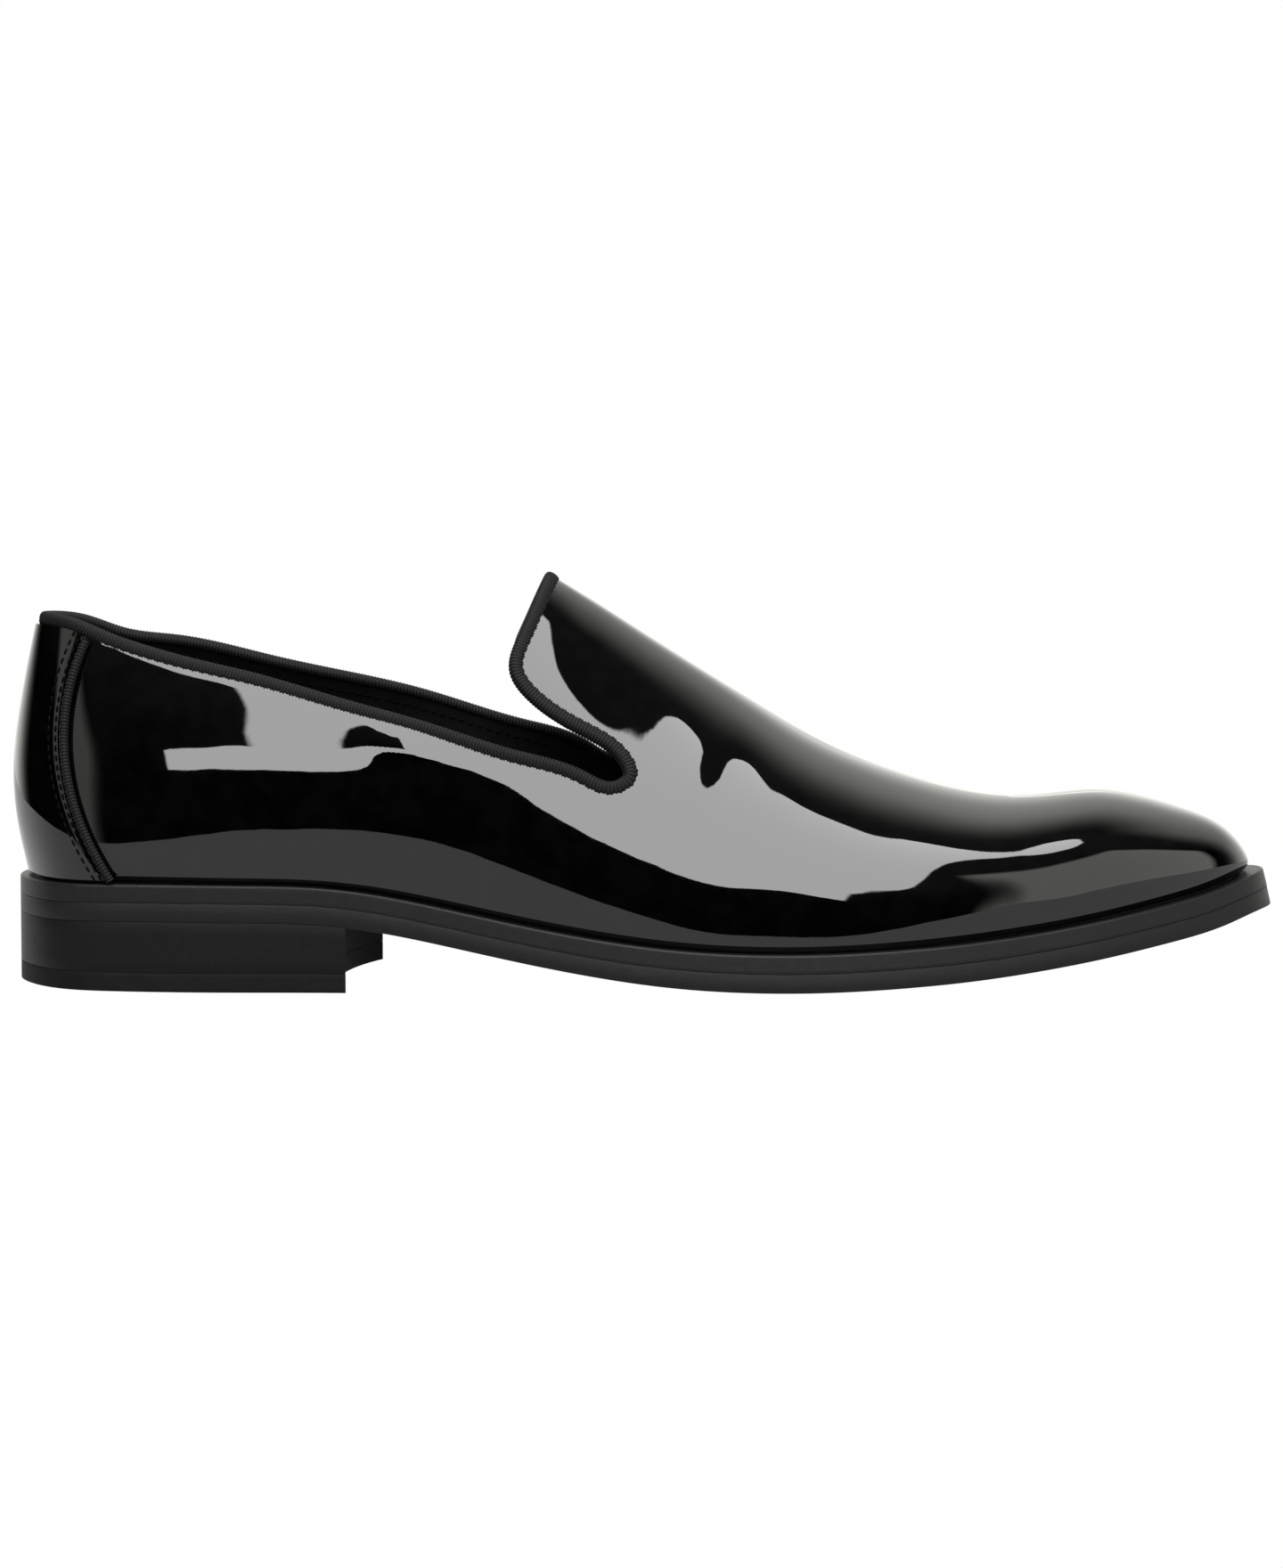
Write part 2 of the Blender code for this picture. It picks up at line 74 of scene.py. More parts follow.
# Height of the ridge along the vamp; behind the tongue the form goes on as a dome that is cut off
RIDGE_COLUMNS = ("x", "z")
RIDGE_ROWS = (
    (30, 99.5), (60, 95.5), (90, 97.5), (110, 104.0), (128.7, 96.9), (152, 82.2), (178, 66.0),
    (193, 57.2), (209, 50.4), (225, 45.6), (240, 43.3), (250, 43.9), (260.5, 44.8), (271, 43.4),
    (281, 40.5), (291.5, 35.6),
)

# Lower edge of the outsole along its rim, which rises at the waist and at the toe
RIM_COLUMNS = ("x", "z")
RIM_ROWS = (
    (0, 16.4), (30, 16.7), (55, 16.6), (75, 16.0), (90, 14.1), (105, 11.2), (120, 8.2),
    (137, 5.3), (155, 3.1), (175, 2.1), (195, 2.3), (215, 3.4), (235, 5.1), (255, 7.8),
    (275, 11.2), (290, 14.3), (303, 17.2),
)

# The tread bulges down between its rims under the ball of the foot, flat where it meets the floor
BALL_X = 185
BALL_SPAN = 95
BALL_BULGE = 3.2

OUTSOLE = 4.4
WELT = 4.3
INSOLE_ABOVE_WELT = 1.5
WALL = 2.0

# How far the sole stands out from the feather line, and how far its edge slopes in going up
EDGE_COLUMNS = ("x", "margin", "slope")
EDGE_ROWS = (
    (3.2, 3.2, 0.0), (20, 2.4, 0.0), (60, 1.9, 0.0), (110, 2.3, 0.2), (150, 2.9, 0.6),
    (190, 3.5, 0.9), (240, 3.9, 1.2), (280, 4.6, 1.6), (297.6, 5.3, 1.8),
)

# Back curve of the heel: how far forward of the feather line it stands at each height
BACK_COLUMNS = ("z", "forward")
BACK_ROWS = ((20, 1.2), (26, 0.0), (34.5, -1.9), (48.7, -3.4), (68, -1.3), (86.6, 2.5), (125, 12.5))
BACK_REACH = 58

# Topline at the middle of its binding, seen from the outer side, from the back seam to the tongue,
# and how much it climbs from side to side towards the inner side
TOPLINE_COLUMNS = ("x", "z", "climb")
TOPLINE_ROWS = (
    (5.8, 87.0, -0.02), (13.5, 86.3, -0.015), (23.7, 82.8, -0.015), (36.6, 78.9, 0.040),
    (58.4, 73.6, 0.045), (78, 68.0, 0.068), (96.8, 63.2, 0.064), (121, 56.1, 0.05),
    (136.6, 51.4, 0.035), (143.6, 49.1, 0.02), (147.2, 51.2, 0.02), (146, 55.4, 0.02),
    (136.5, 62.1, 0.01), (124.5, 70.0, 0.0), (120.4, 76.0, 0.0), (122.2, 83.2, 0.0),
    (126.1, 91.8, 0.0), (128.6, 96.9, 0.0),
)
BINDING_HEIGHT = 3.0
BINDING_WIDTH = 3.2

# Seam of the heel counter: a bow that is furthest back at the waist of the heel
SEAM_BACK_X = 13.6
SEAM_WAIST_Z = 60
SEAM_BOW = 0.0098
PIPING_RADIUS = 1.05
PIPING_TOP = 82.0

# Heel counter: its edge keeps a share of the thickness and rounds off over about one step of the
# mesh, and its top follows the first share of the topline
COUNTER_THICKNESS = 0.9
COUNTER_FOOT = 0.6
COUNTER_EDGE = 0.8
COUNTER_FOLD_STEPS = 1.2
COUNTER_TOPLINE = 0.3

# Heel: its front is a hollow arc that runs further forward on the inner side
HEEL_TOP_LIFT = 4.5
BREAST_OUTER_X = 80.0
BREAST_INNER_X = 87.3
BREAST_HALF_WIDTH = 32
BREAST_HOLLOW = 6.0
HEEL_FRONT = 100

# Softened edges of the sole and the heel
OUTSOLE_SOFT = 0.12
INSOLE_SOFT = 0.3
HEEL_SOFT = 0.1
WELT_SOFT = 0.12
WELT_ROUND = 0.6

# Steps of the fine meshes, and points on the lines that they follow
UPPER_STEPS = (330, 150)
COUNTER_STEPS = (40, 70)
SOLE_STEPS = 220
ACROSS_STEPS = 24
WELT_STEPS = 5
RIB_STEPS = 5
BEAD_STEPS = 14
OPENING_SAMPLES = 240
ROLL_SAMPLES = 600
BINDING_SAMPLES = 3000
PIPING_SAMPLES = 800
COUNTER_SAMPLES = 200
HEEL_SAMPLES = 400
BREAST_SAMPLES = 50

# Ribbon: its ribs, the puckers of its lower edge, how square its fold is (2 is round), and how far
# it reaches down outside and inside as shares of its half height
RIB_PITCH = 0.8
RIB_HEIGHT = 0.16
PUCKER_PITCH = 2.2
PUCKER_HEIGHT = 0.13
BINDING_FOLD = 2.5
PIPING_FOLD = 2.0
BINDING_FLANGES = (1.45, 0.45)

# Thread: where the rows on the counter begin above its foot and end above the cord, and which share
# of the topline the rows in the lining follow
STITCH_PITCH = 2.35
STITCH_LENGTH = 1.75
STITCH_WIDTH = 0.55
STITCH_BEHIND_SEAM = (2.1, 3.7)
STITCH_ABOVE_FOOT = 0.6
STITCH_ABOVE_PIPING = 1.5
STITCH_PROUD = 0.05
STITCH_SAMPLES = 120
LINING_STITCH_BELOW = 3.2
LINING_STITCH_SPAN = (0.02, 0.58)
LINING_STITCH_PROUD = 0.1
LINING_STITCH_SAMPLES = 300

# Rolls of the upper, into the welt and on the outer side towards the topline: how far from the edge
# they begin and how deep they go; the second also takes in a narrow strip above the topline
ROLL_HEIGHT = 2.3
ROLL_DEPTH = 0.8
TOP_ROLL_REACH = 7.2
TOP_ROLL_ABOVE = 3
TOP_ROLL_COLUMNS = ("x", "depth")
TOP_ROLL_ROWS = ((10, 0.05), (50, 0.14), (70, 0.35), (90, 0.62), (108, 0.5), (122, 0.15), (135, 0.0))

# Soft creases of the outer side in millimetres: middle of the crease in the side view, half size
# across and along it, lean from upright in degrees, height (minus is a trough)
WAVE_COLUMNS = ("x", "z", "wide", "long", "lean", "height")
WAVE_ROWS = (
    (73.0, 60.0, 19.0, 26.0, 0, 1.35),
    (93.5, 58.0, 5.5, 2.6, 16, 0.46),
    (97.0, 55.5, 6.0, 4.5, 16, 0.25),
    (108.0, 57.0, 12.0, 5.0, 0, 0.20),
    (131.5, 84.0, 4.0, 6.0, -15, 0.30),
    (132.5, 66.5, 4.8, 14.0, -46, 0.85),
    (153.0, 55.0, 3.2, 6.0, 25, -0.22),
    (161.0, 53.0, 6.0, 10.0, 0, 0.48),
    (162.0, 52.0, 3.4, 6.5, 25, 0.18),
    (163.0, 45.0, 7.0, 16.0, -65, 0.60),
    (169.3, 49.0, 2.8, 5.5, 30, -0.14),
    (175.4, 46.0, 2.8, 5.5, 30, 0.16),
    (188.0, 47.0, 8.0, 8.0, 0, -0.30),
    (203.0, 36.0, 6.0, 7.0, -20, 0.20),
    (228.0, 32.0, 16.0, 9.0, -20, 0.88),
    (240.0, 26.0, 5.0, 9.0, -51, 0.30),
    (246.0, 37.0, 9.0, 7.0, -20, 0.35),
)

# Camera: distance and target in millimetres of the last
CAMERA_DISTANCE = 1300
CAMERA_ELEVATION = 5.5
CAMERA_TARGET = (150.2, 0, 46.5)
CAMERA_LENS = 123.5
CAMERA_SENSOR = 36
CAMERA_CLIP = 50

# Soft box in front of and above the outer side, in millimetres of the last: it leans along a slope,
# and the rows give its left and right edge at each place along y
BOX_START = (-1245, 462)
BOX_END = (330, 1441)
BOX_SPAN = (-480, 700)
BOX_BRIGHTNESS = 9.0
BOX_SOFT = 14.0
BOX_COLUMNS = ("y", "left", "right")
BOX_ROWS = (
    (-1245, -450, 345), (-1118, -425, 362), (-1100, -230, 372), (-1080, -92, 382), (-1018, -86, 400),
    (-995, -86, 405), (-862, -60, 455), (-720, -45, 468), (-695, -450, 472), (-600, -460, 480),
    (-540, -460, 482), (-450, -460, 497), (-330, -460, 520), (-240, -440, 555), (-150, -420, 590),
    (-50, -400, 605), (100, -380, 560), (330, -350, 400),
)

# Pale boards round the studio as windows in the sky, in degrees: middle and half size of azimuth
# (0 behind the shoe, plus towards the toe) and of elevation, fall of elevation with azimuth,
# highest elevation, softness of the edges, brightness
BOARD_COLUMNS = ("azimuth", "half_width", "elevation", "half_height", "fall", "top", "soft", "brightness")
BOARD_ROWS = (
    (10, 58, 12, 42, 0.0, 90, 30.0, 1.0),
    (10, 58, 0, 20, 0.0, 90, 20.0, 0.55),
    (117, 29, -20, 70, -0.85, 50, 5.0, 1.9),
    (-120, 23, 20, 13, -0.6, 90, 8.0, 0.9),
)

# Glow of the ceiling, which comes up between two elevations in degrees, and size of the floor, which
# ends not far behind the heel so that the counter mirrors only a low band of it
HALF_TURN = 180
CEILING = 0.07
CEILING_EDGES = (15.0, 45.0)
FLOOR_REACH = 4000
FLOOR_LEFT = 430


def column(rows, names, name):
    place = names.index(name)
    return np.array([row[place] for row in rows], float)


def spline(knots, values, start_slope=None, end_slope=None):
    """Cubic curve through the values; an end with no slope given is free of bending."""
    knots = np.asarray(knots, float)
    values = np.asarray(values, float)
    step = np.diff(knots)
    rise = np.diff(values) / step
    size = len(knots)
    matrix = np.eye(size)
    right = np.zeros(size)
    for i in range(1, size - 1):
        matrix[i, i - 1:i + 2] = step[i - 1], 2 * (step[i - 1] + step[i]), step[i]
        right[i] = 6 * (rise[i] - rise[i - 1])
    if start_slope is not None:
        matrix[0, :2] = 2 * step[0], step[0]
        right[0] = 6 * (rise[0] - start_slope)
    if end_slope is not None:
        matrix[-1, -2:] = step[-1], 2 * step[-1]
        right[-1] = 6 * (end_slope - rise[-1])
    bend = np.linalg.solve(matrix, right)

    def curve(at):
        at = np.clip(at, knots[0], knots[-1])
        i = np.clip(np.searchsorted(knots, at) - 1, 0, size - 2)
        before = at - knots[i]
        after = knots[i + 1] - at
        straight = (values[i] * after + values[i + 1] * before) / step[i]
        low = bend[i] * after * (after ** 2 - step[i] ** 2)
        high = bend[i + 1] * before * (before ** 2 - step[i] ** 2)
        return straight + (low + high) / (6 * step[i])

    return curve


def run_along(points):
    """Length of a line of points from its start to each of them."""
    return np.append(0, np.cumsum(np.linalg.norm(np.diff(points, axis=0), axis=1)))


def unit(vectors):
    return vectors / np.linalg.norm(vectors, axis=-1, keepdims=True)


def table_curve(rows, names, key, name):
    return spline(column(rows, names, key), column(rows, names, name), 0, 0)


def angle_at(x):
    """Angle of a station: 0 at the heel, pi at the toe, so that both ends close round."""
    return np.arccos(np.clip(1 - (np.asarray(x, float) - FEATHER_BACK) / HALF_LENGTH, -1, 1))


def station(angle):
    return FEATHER_BACK + HALF_LENGTH * (1 - np.cos(angle))


def rounded_width(half_widths):
    angles = angle_at(column(LAST_ROWS, LAST_COLUMNS, "x"))
    ends = math.sqrt(HEEL_RADIUS * HALF_LENGTH), math.sqrt(TOE_RADIUS * HALF_LENGTH)
    shape = np.concatenate(([ends[0]], half_widths / np.sin(angles), [ends[1]]))
    return spline(np.concatenate(([0], angles, [math.pi])), shape, 0, 0)


rim = table_curve(RIM_ROWS, RIM_COLUMNS, "x", "z")
edge_margin = table_curve(EDGE_ROWS, EDGE_COLUMNS, "x", "margin")
edge_slope = table_curve(EDGE_ROWS, EDGE_COLUMNS, "x", "slope")
back_curve = spline(column(BACK_ROWS, BACK_COLUMNS, "z"), column(BACK_ROWS, BACK_COLUMNS, "forward"))
last_x = column(LAST_ROWS, LAST_COLUMNS, "x")
ridge_shift = column(LAST_ROWS, LAST_COLUMNS, "ridge")
last_tuck = column(LAST_ROWS, LAST_COLUMNS, "tuck")
fullness = table_curve(LAST_ROWS, LAST_COLUMNS, "x", "fullness")
tuck = table_curve(LAST_ROWS, LAST_COLUMNS, "x", "tuck")
ridge = spline(np.append(last_x, FEATHER_TIP), np.append(ridge_shift, TOE_TIP_SHIFT), 0, 0)
outer_width = rounded_width((column(LAST_ROWS, LAST_COLUMNS, "outer") + ridge_shift) / (1 - last_tuck))
inner_width = rounded_width((column(LAST_ROWS, LAST_COLUMNS, "inner") - ridge_shift) / (1 - last_tuck))


def feather(x):
    return rim(x) + OUTSOLE + WELT + 2 * GAP


def ridge_height():
    x = column(RIDGE_ROWS, RIDGE_COLUMNS, "x")
    angles = angle_at(x)
    heights = (column(RIDGE_ROWS, RIDGE_COLUMNS, "z") - feather(x)) / np.cos(angles / 2)
    toe = 2 * math.sqrt(TOE_FRONT_RADIUS * HALF_LENGTH)
    return spline(np.append(angles, math.pi), np.append(heights, toe), end_slope=0)


dome = ridge_height()


def height(angle):
    return np.cos(angle / 2) * dome(angle)


def back_fade(x):
    along = np.clip((x - FEATHER_BACK) / BACK_REACH, 0, 1)
    return (1 - along) ** 2 * (1 + 2 * along)


def last_surface(angle, turn):
    """Point of the last: turn runs from -1 at the outer feather line over the ridge to 1."""
    angle, turn = np.broadcast_arrays(np.asarray(angle, float), np.asarray(turn, float))
    x = station(angle)
    up = np.clip(np.cos(math.pi / 2 * turn), 0, 1)
    across = np.sign(turn) * np.sqrt(np.clip(1 - up ** fullness(x), 0, 1))
    outer = np.sin(angle) * outer_width(angle)
    inner = np.sin(angle) * inner_width(angle)
    swell = (inner + outer) / 2 * across + (inner - outer) / 2 * across ** 2
    y = ridge(x) + swell * (1 - tuck(x) * (1 - up) ** 3)
    z = feather(x) + height(angle) * up
    return np.stack([x + back_curve(z) * back_fade(x), y, z], -1)


def last_normal(angle, turn):
    """Outward direction, taken a little inside the two ends where the sections close up."""
    angle, turn = np.broadcast_arrays(np.asarray(angle, float), np.asarray(turn, float))
    inset = 0.02
    reach = 1e-4
    at = np.clip(angle, inset, math.pi - inset)
    side = np.clip(turn, -1 + reach, 1 - reach)
    along = last_surface(at + reach, side) - last_surface(at - reach, side)
    over = last_surface(at, side + reach) - last_surface(at, side - reach)
    normal = np.cross(along, over)
    normal = np.where((angle < inset)[..., None], normal * (1, 0, 1), normal)
    normal = np.where((angle > math.pi - inset)[..., None], (1.0, 0.0, 0.0), normal)
    return unit(normal)


def offset_surface(angle, turn, distance):
    return last_surface(angle, turn) + distance * last_normal(angle, turn)


def place_on_side(x, z, side):
    """Angle and turn of the point of the last that a side view shows at x, z."""
    base = np.asarray(x, float)
    for _ in range(30):
        base = x - back_curve(z) * back_fade(base)
    angle = angle_at(base)
    up = np.clip((z - feather(station(angle))) / height(angle), 0, 1)
    return angle, side * np.arccos(up) * 2 / math.pi


def sole_outline(angle, side, margin):
    """Plan of the feather line, moved outwards by a margin."""
    reach = 1e-4
    turn = np.full_like(angle, side)
    point = last_surface(angle, turn)[:, :2]
    ahead = last_surface(np.clip(angle + reach, 0, math.pi), turn)[:, :2]
    behind = last_surface(np.clip(angle - reach, 0, math.pi), turn)[:, :2]
    along = ahead - behind
    out = unit(-side * np.stack([along[:, 1], -along[:, 0]], -1))
    out[angle < reach] = -1, 0
    out[angle > math.pi - reach] = 1, 0
    return point + np.reshape(margin, (-1, 1)) * out


def tread(x, across):
    """Lower face of the outsole: across is 0 on the middle line and 1 at the rim."""
    bulge = BALL_BULGE * np.clip(1 - ((x - BALL_X) / BALL_SPAN) ** 2, 0, 1) ** 2
    return np.maximum(0, rim(x) - bulge * (1 - across ** 2))


def topline():
    """Curves of x, z on the middle plane and side climb over the length of the topline."""
    x, z, climb = (column(TOPLINE_ROWS, TOPLINE_COLUMNS, name) for name in TOPLINE_COLUMNS)
    points = last_surface(*place_on_side(x, z, -1))
    knots = run_along(points)
    middle = z - climb * points[:, 1]
    return [spline(knots, values, 0, 0) for values in (x, middle, climb)], knots[-1]


def topline_on_side(side, share):
    """Angle and turn of the topline's points on one side at shares of its length."""
    curves, length = topline()
    x, level, climb = (curve(share * length) for curve in curves)
    z = level
    for _ in range(6):
        angle, turn = place_on_side(x, z, side)
        z = level + climb * last_surface(angle, turn)[..., 1]
    return angle, turn


def seam_x(z):
    return SEAM_BACK_X + SEAM_BOW * (z - SEAM_WAIST_Z) ** 2


def linear(hex_colour):
    """Linear colour of an sRGB hex code."""
    parts = [int(hex_colour[i:i + 2], 16) / 255 for i in (1, 3, 5)]
    return (*[p / 12.92 if p <= 0.04045 else ((p + 0.055) / 1.055) ** 2.4 for p in parts], 1)


def feed(tree, node, inputs):
    """Set a node's inputs: each is a value or the socket that feeds it."""
    for name, value in inputs.items():
        if isinstance(value, bpy.types.NodeSocket):
            tree.links.new(value, node.inputs[name])
        else:
            node.inputs[name].default_value = value


def add(tree, kind, inputs=None, **settings):
    """Node with its settings and what feeds it."""
    node = tree.nodes.new(kind)
    for name, value in settings.items():
        setattr(node, name, value)
    feed(tree, node, inputs or {})
    return node


def tint(tree, pattern, dark, light, low=0.35, high=0.65):
    """Colour that goes from one hex code to another over a range of a pattern's value."""
    inputs = {"Value": pattern, "From Min": low, "From Max": high}
    share = add(tree, "ShaderNodeMapRange", inputs).outputs["Result"]
    # The colours of a mix are its sockets 6 and 7, and their result is its output 2
    inputs = {0: share, 6: linear(dark), 7: linear(light)}
    return add(tree, "ShaderNodeMix", inputs, data_type="RGBA").outputs[2]


def per_mm(size):
    """Scale of a noise whose features are about this many millimetres wide."""
    return 1 / (size * MM)


def new_material(name):
    material = bpy.data.materials.new(name)
    material.use_nodes = True
    tree = material.node_tree
    shader = tree.nodes["Principled BSDF"]
    place = add(tree, "ShaderNodeTexCoord").outputs["Object"]
    return material, tree, shader, place


def patent_material():
    """Lacquered leather: a clear glossy coat whose faint waves bend the edges of the reflections."""
    material, tree, shader, place = new_material("patent_leather_lacquered")
    swell = add(tree, "ShaderNodeTexNoise", {"Vector": place, "Scale": per_mm(14), "Detail": 1.0})
    pores = add(tree, "ShaderNodeTexNoise", {"Vector": place, "Scale": per_mm(1.6)})
    dye = add(tree, "ShaderNodeTexNoise", {"Vector": place, "Scale": per_mm(6)})
    polish = add(tree, "ShaderNodeTexNoise", {"Vector": place, "Scale": per_mm(3)})
    inputs = {"Height": swell.outputs["Fac"], "Distance": 0.05 * MM, "Strength": 1.0}
    waves = add(tree, "ShaderNodeBump", inputs).outputs["Normal"]
    inputs = {"Height": pores.outputs["Fac"], "Distance": 0.0012 * MM, "Strength": 1.0, "Normal": waves}
    skin = add(tree, "ShaderNodeBump", inputs).outputs["Normal"]
    inputs = {"Value": polish.outputs["Fac"], "To Min": 0.012, "To Max": 0.03}
    coat = add(tree, "ShaderNodeMapRange", inputs).outputs["Result"]
    feed(tree, shader, {
        "Base Color": tint(tree, dye.outputs["Fac"], "#010101", "#030303"),
        "Roughness": 0.3, "Specular IOR Level": 0.0,
        "Coat Weight": 1.0, "Coat IOR": 1.5, "Coat Roughness": coat,
        "Normal": skin, "Coat Normal": skin,
    })
    return material


def ribbon_material():
    """Woven ribbon: a painted highlight on the crowns of the cross ribs and painted shade in the grooves
    between them.
    """
    material, tree, shader, place = new_material("grosgrain_ribbon_woven")
    rib = add(tree, "ShaderNodeAttribute", attribute_name="rib").outputs["Fac"]
    thread = add(tree, "ShaderNodeTexNoise", {"Vector": place, "Scale": per_mm(0.25)}).outputs["Fac"]
    uneven = add(tree, "ShaderNodeMapRange", {"Value": thread, "To Min": -0.25, "To Max": 0.25})
    # Rib value with some thread noise: the crowns get a painted highlight and the grooves get painted shade
    crown_highlight_groove_shade = add(tree, "ShaderNodeMath", {0: rib, 1: uneven.outputs["Result"]}, operation="ADD").outputs[0]
    dull = add(tree, "ShaderNodeMapRange", {"Value": thread, "To Min": 0.55, "To Max": 0.75})
    weave = add(tree, "ShaderNodeBump", {"Height": thread, "Distance": 0.03 * MM, "Strength": 1.0})
    feed(tree, shader, {
        "Base Color": tint(tree, crown_highlight_groove_shade, "#000000", "#121212", 0.25, 0.95),
        "Roughness": dull.outputs["Result"], "Specular IOR Level": 0.12,
        "Sheen Weight": 0.02, "Sheen Roughness": 0.4,
        "Normal": weave.outputs["Normal"],
    })
    return material


def grained_material(name, dark, light, patch_mm, grain_mm, detail, roughness, shine):
    """Matt leather or rubber: soft patches in the dye and a fine grain that dulls the shine."""
    material, tree, shader, place = new_material(name)
    dye = add(tree, "ShaderNodeTexNoise", {"Vector": place, "Scale": per_mm(patch_mm)})
    inputs = {"Vector": place, "Scale": per_mm(grain_mm), "Detail": detail}
    grain = add(tree, "ShaderNodeTexNoise", inputs).outputs["Fac"]
    inputs = {"Value": grain, "To Min": roughness[0], "To Max": roughness[1]}
    dull = add(tree, "ShaderNodeMapRange", inputs)
    pores = add(tree, "ShaderNodeBump", {"Height": grain, "Distance": 0.03 * MM, "Strength": 1.0})
    feed(tree, shader, {
        "Base Color": tint(tree, dye.outputs["Fac"], dark, light),
        "Roughness": dull.outputs["Result"], "Specular IOR Level": shine,
        "Normal": pores.outputs["Normal"],
    })
    return material


def edge_material(name, dark, light, roughness, streak_mm, shine):
    """Dyed and burnished edge: thin streaks run along it and break up the shine."""
    material, tree, shader, place = new_material(name)
    level = add(tree, "ShaderNodeAttribute", attribute_name="level").outputs["Fac"]
    parts = add(tree, "ShaderNodeSeparateXYZ", {"Vector": place}).outputs
    stretch, depth = 40 * MM, 0.05 * MM
    squeeze = add(tree, "ShaderNodeMath", {0: level, 1: stretch}, operation="MULTIPLY").outputs[0]
    along = add(tree, "ShaderNodeCombineXYZ", {"X": parts["X"], "Y": parts["Y"], "Z": squeeze}).outputs[0]
    inputs = {"Vector": along, "Scale": per_mm(streak_mm), "Detail": 3.0, "Roughness": 0.6}
    streaks = add(tree, "ShaderNodeTexNoise", inputs).outputs["Fac"]
    specks = add(tree, "ShaderNodeTexNoise", {"Vector": place, "Scale": per_mm(0.6)}).outputs["Fac"]
    inputs = {"Value": specks, "To Min": roughness - 0.08, "To Max": roughness + 0.08}
    dull = add(tree, "ShaderNodeMapRange", inputs)
    inputs = {"Height": streaks, "Distance": depth, "Strength": 1.0}
    grooves = add(tree, "ShaderNodeBump", inputs).outputs["Normal"]
    inputs = {"Height": specks, "Distance": depth / 3, "Strength": 1.0, "Normal": grooves}
    pits = add(tree, "ShaderNodeBump", inputs)
    feed(tree, shader, {
        "Base Color": tint(tree, streaks, dark, light, 0.3, 0.7),
        "Roughness": dull.outputs["Result"], "Specular IOR Level": shine,
        "Normal": pits.outputs["Normal"],
    })
    return material


def thread_material():
    """Waxed thread: dark, with a twist that dulls each stitch."""
    material, tree, shader, place = new_material("waxed_thread")
    inputs = {"Vector": place, "Scale": per_mm(0.3), "Detail": 1.0}
    twist = add(tree, "ShaderNodeTexNoise", inputs).outputs["Fac"]
    dull = add(tree, "ShaderNodeMapRange", {"Value": twist, "To Min": 0.4, "To Max": 0.55})
    strands = add(tree, "ShaderNodeBump", {"Height": twist, "Distance": 0.04 * MM, "Strength": 1.0})
    feed(tree, shader, {
        "Base Color": tint(tree, twist, "#030303", "#090909"),
        "Roughness": dull.outputs["Result"], "Specular IOR Level": 0.02,
        "Normal": strands.outputs["Normal"],
    })
    return material


def grid_faces(rows, columns, closed_rows=False, closed_columns=False):
    """Quads over a grid of points, with the last row or column joined to the first where asked."""
    i = np.arange(rows if closed_rows else rows - 1)[:, None]
    j = np.arange(columns if closed_columns else columns - 1)[None, :]
    ahead = (i + 1) % rows
    beside = (j + 1) % columns
    corners = (i * columns + j, i * columns + beside, ahead * columns + beside, ahead * columns + j)
    return np.stack([np.broadcast_to(c, (len(i), j.shape[1])) for c in corners], -1).reshape(-1, 4)


def piece(name, points, faces, materials, slots=None, sharp=50, attributes=None, flat=None):
    """Closed mesh in place: points in millimetres of the last, a material slot for each face, and the
    angle in degrees from which an edge is drawn sharp.
    """
    mesh = bpy.data.meshes.new(name)
    mesh.from_pydata((np.asarray(points) * MM + ORIGIN).tolist(), [], [list(map(int, f)) for f in faces])
    for material in materials:
        mesh.materials.append(material)
    if slots is not None:
        mesh.polygons.foreach_set("material_index", np.asarray(slots, np.int32))
    for key, values in (attributes or {}).items():
        mesh.attributes.new(key, "FLOAT", "POINT").data.foreach_set("value", np.asarray(values, np.float32))
    mesh.shade_smooth()
    if flat is not None:
        smooth = np.ones(len(faces), bool)
        smooth[flat] = False
        mesh.polygons.foreach_set("use_smooth", smooth)
    work = bmesh.new()
    work.from_mesh(mesh)
    bmesh.ops.remove_doubles(work, verts=work.verts, dist=WELD)
    bmesh.ops.dissolve_degenerate(work, dist=WELD, edges=work.edges)
    bmesh.ops.recalc_face_normals(work, faces=work.faces)
    work.to_mesh(mesh)
    work.free()
    mesh.set_sharp_from_angle(angle=math.radians(sharp))
    made = bpy.data.objects.new(name, mesh)
    bpy.context.collection.objects.link(made)
    return made


def put_on(made, slot, *nodes):
    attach(made, "root")
    if nodes:
        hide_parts(*nodes)


def inside(points, polygon):
    """Which points of a side view lie inside a polygon."""
    x, z = points[..., 0], points[..., 1]
    found = np.zeros(x.shape, bool)
    for (ax, az), (bx, bz) in zip(polygon, np.roll(polygon, -1, 0)):
        if az == bz:
            continue
        crosses = (az > z) != (bz > z)
        found ^= crosses & (x < ax + (z - az) * (bx - ax) / (bz - az))
    return found


def opening_polygon(side):
    share = np.linspace(0, 1, OPENING_SAMPLES)
    line = last_surface(*topline_on_side(side, share))[:, (0, 2)]
    behind, above = -40, 160
    return np.concatenate([[(behind, above), (behind, line[0, 1])], line, [(line[-1, 0], above)]])


def feather_roll(skin, x):
    """How far the upper rolls in where it is lasted over the feather edge."""
    low = np.clip(1 - (skin[..., 2] - feather(x)) / ROLL_HEIGHT, 0, 1)
    return ROLL_DEPTH * low ** 2


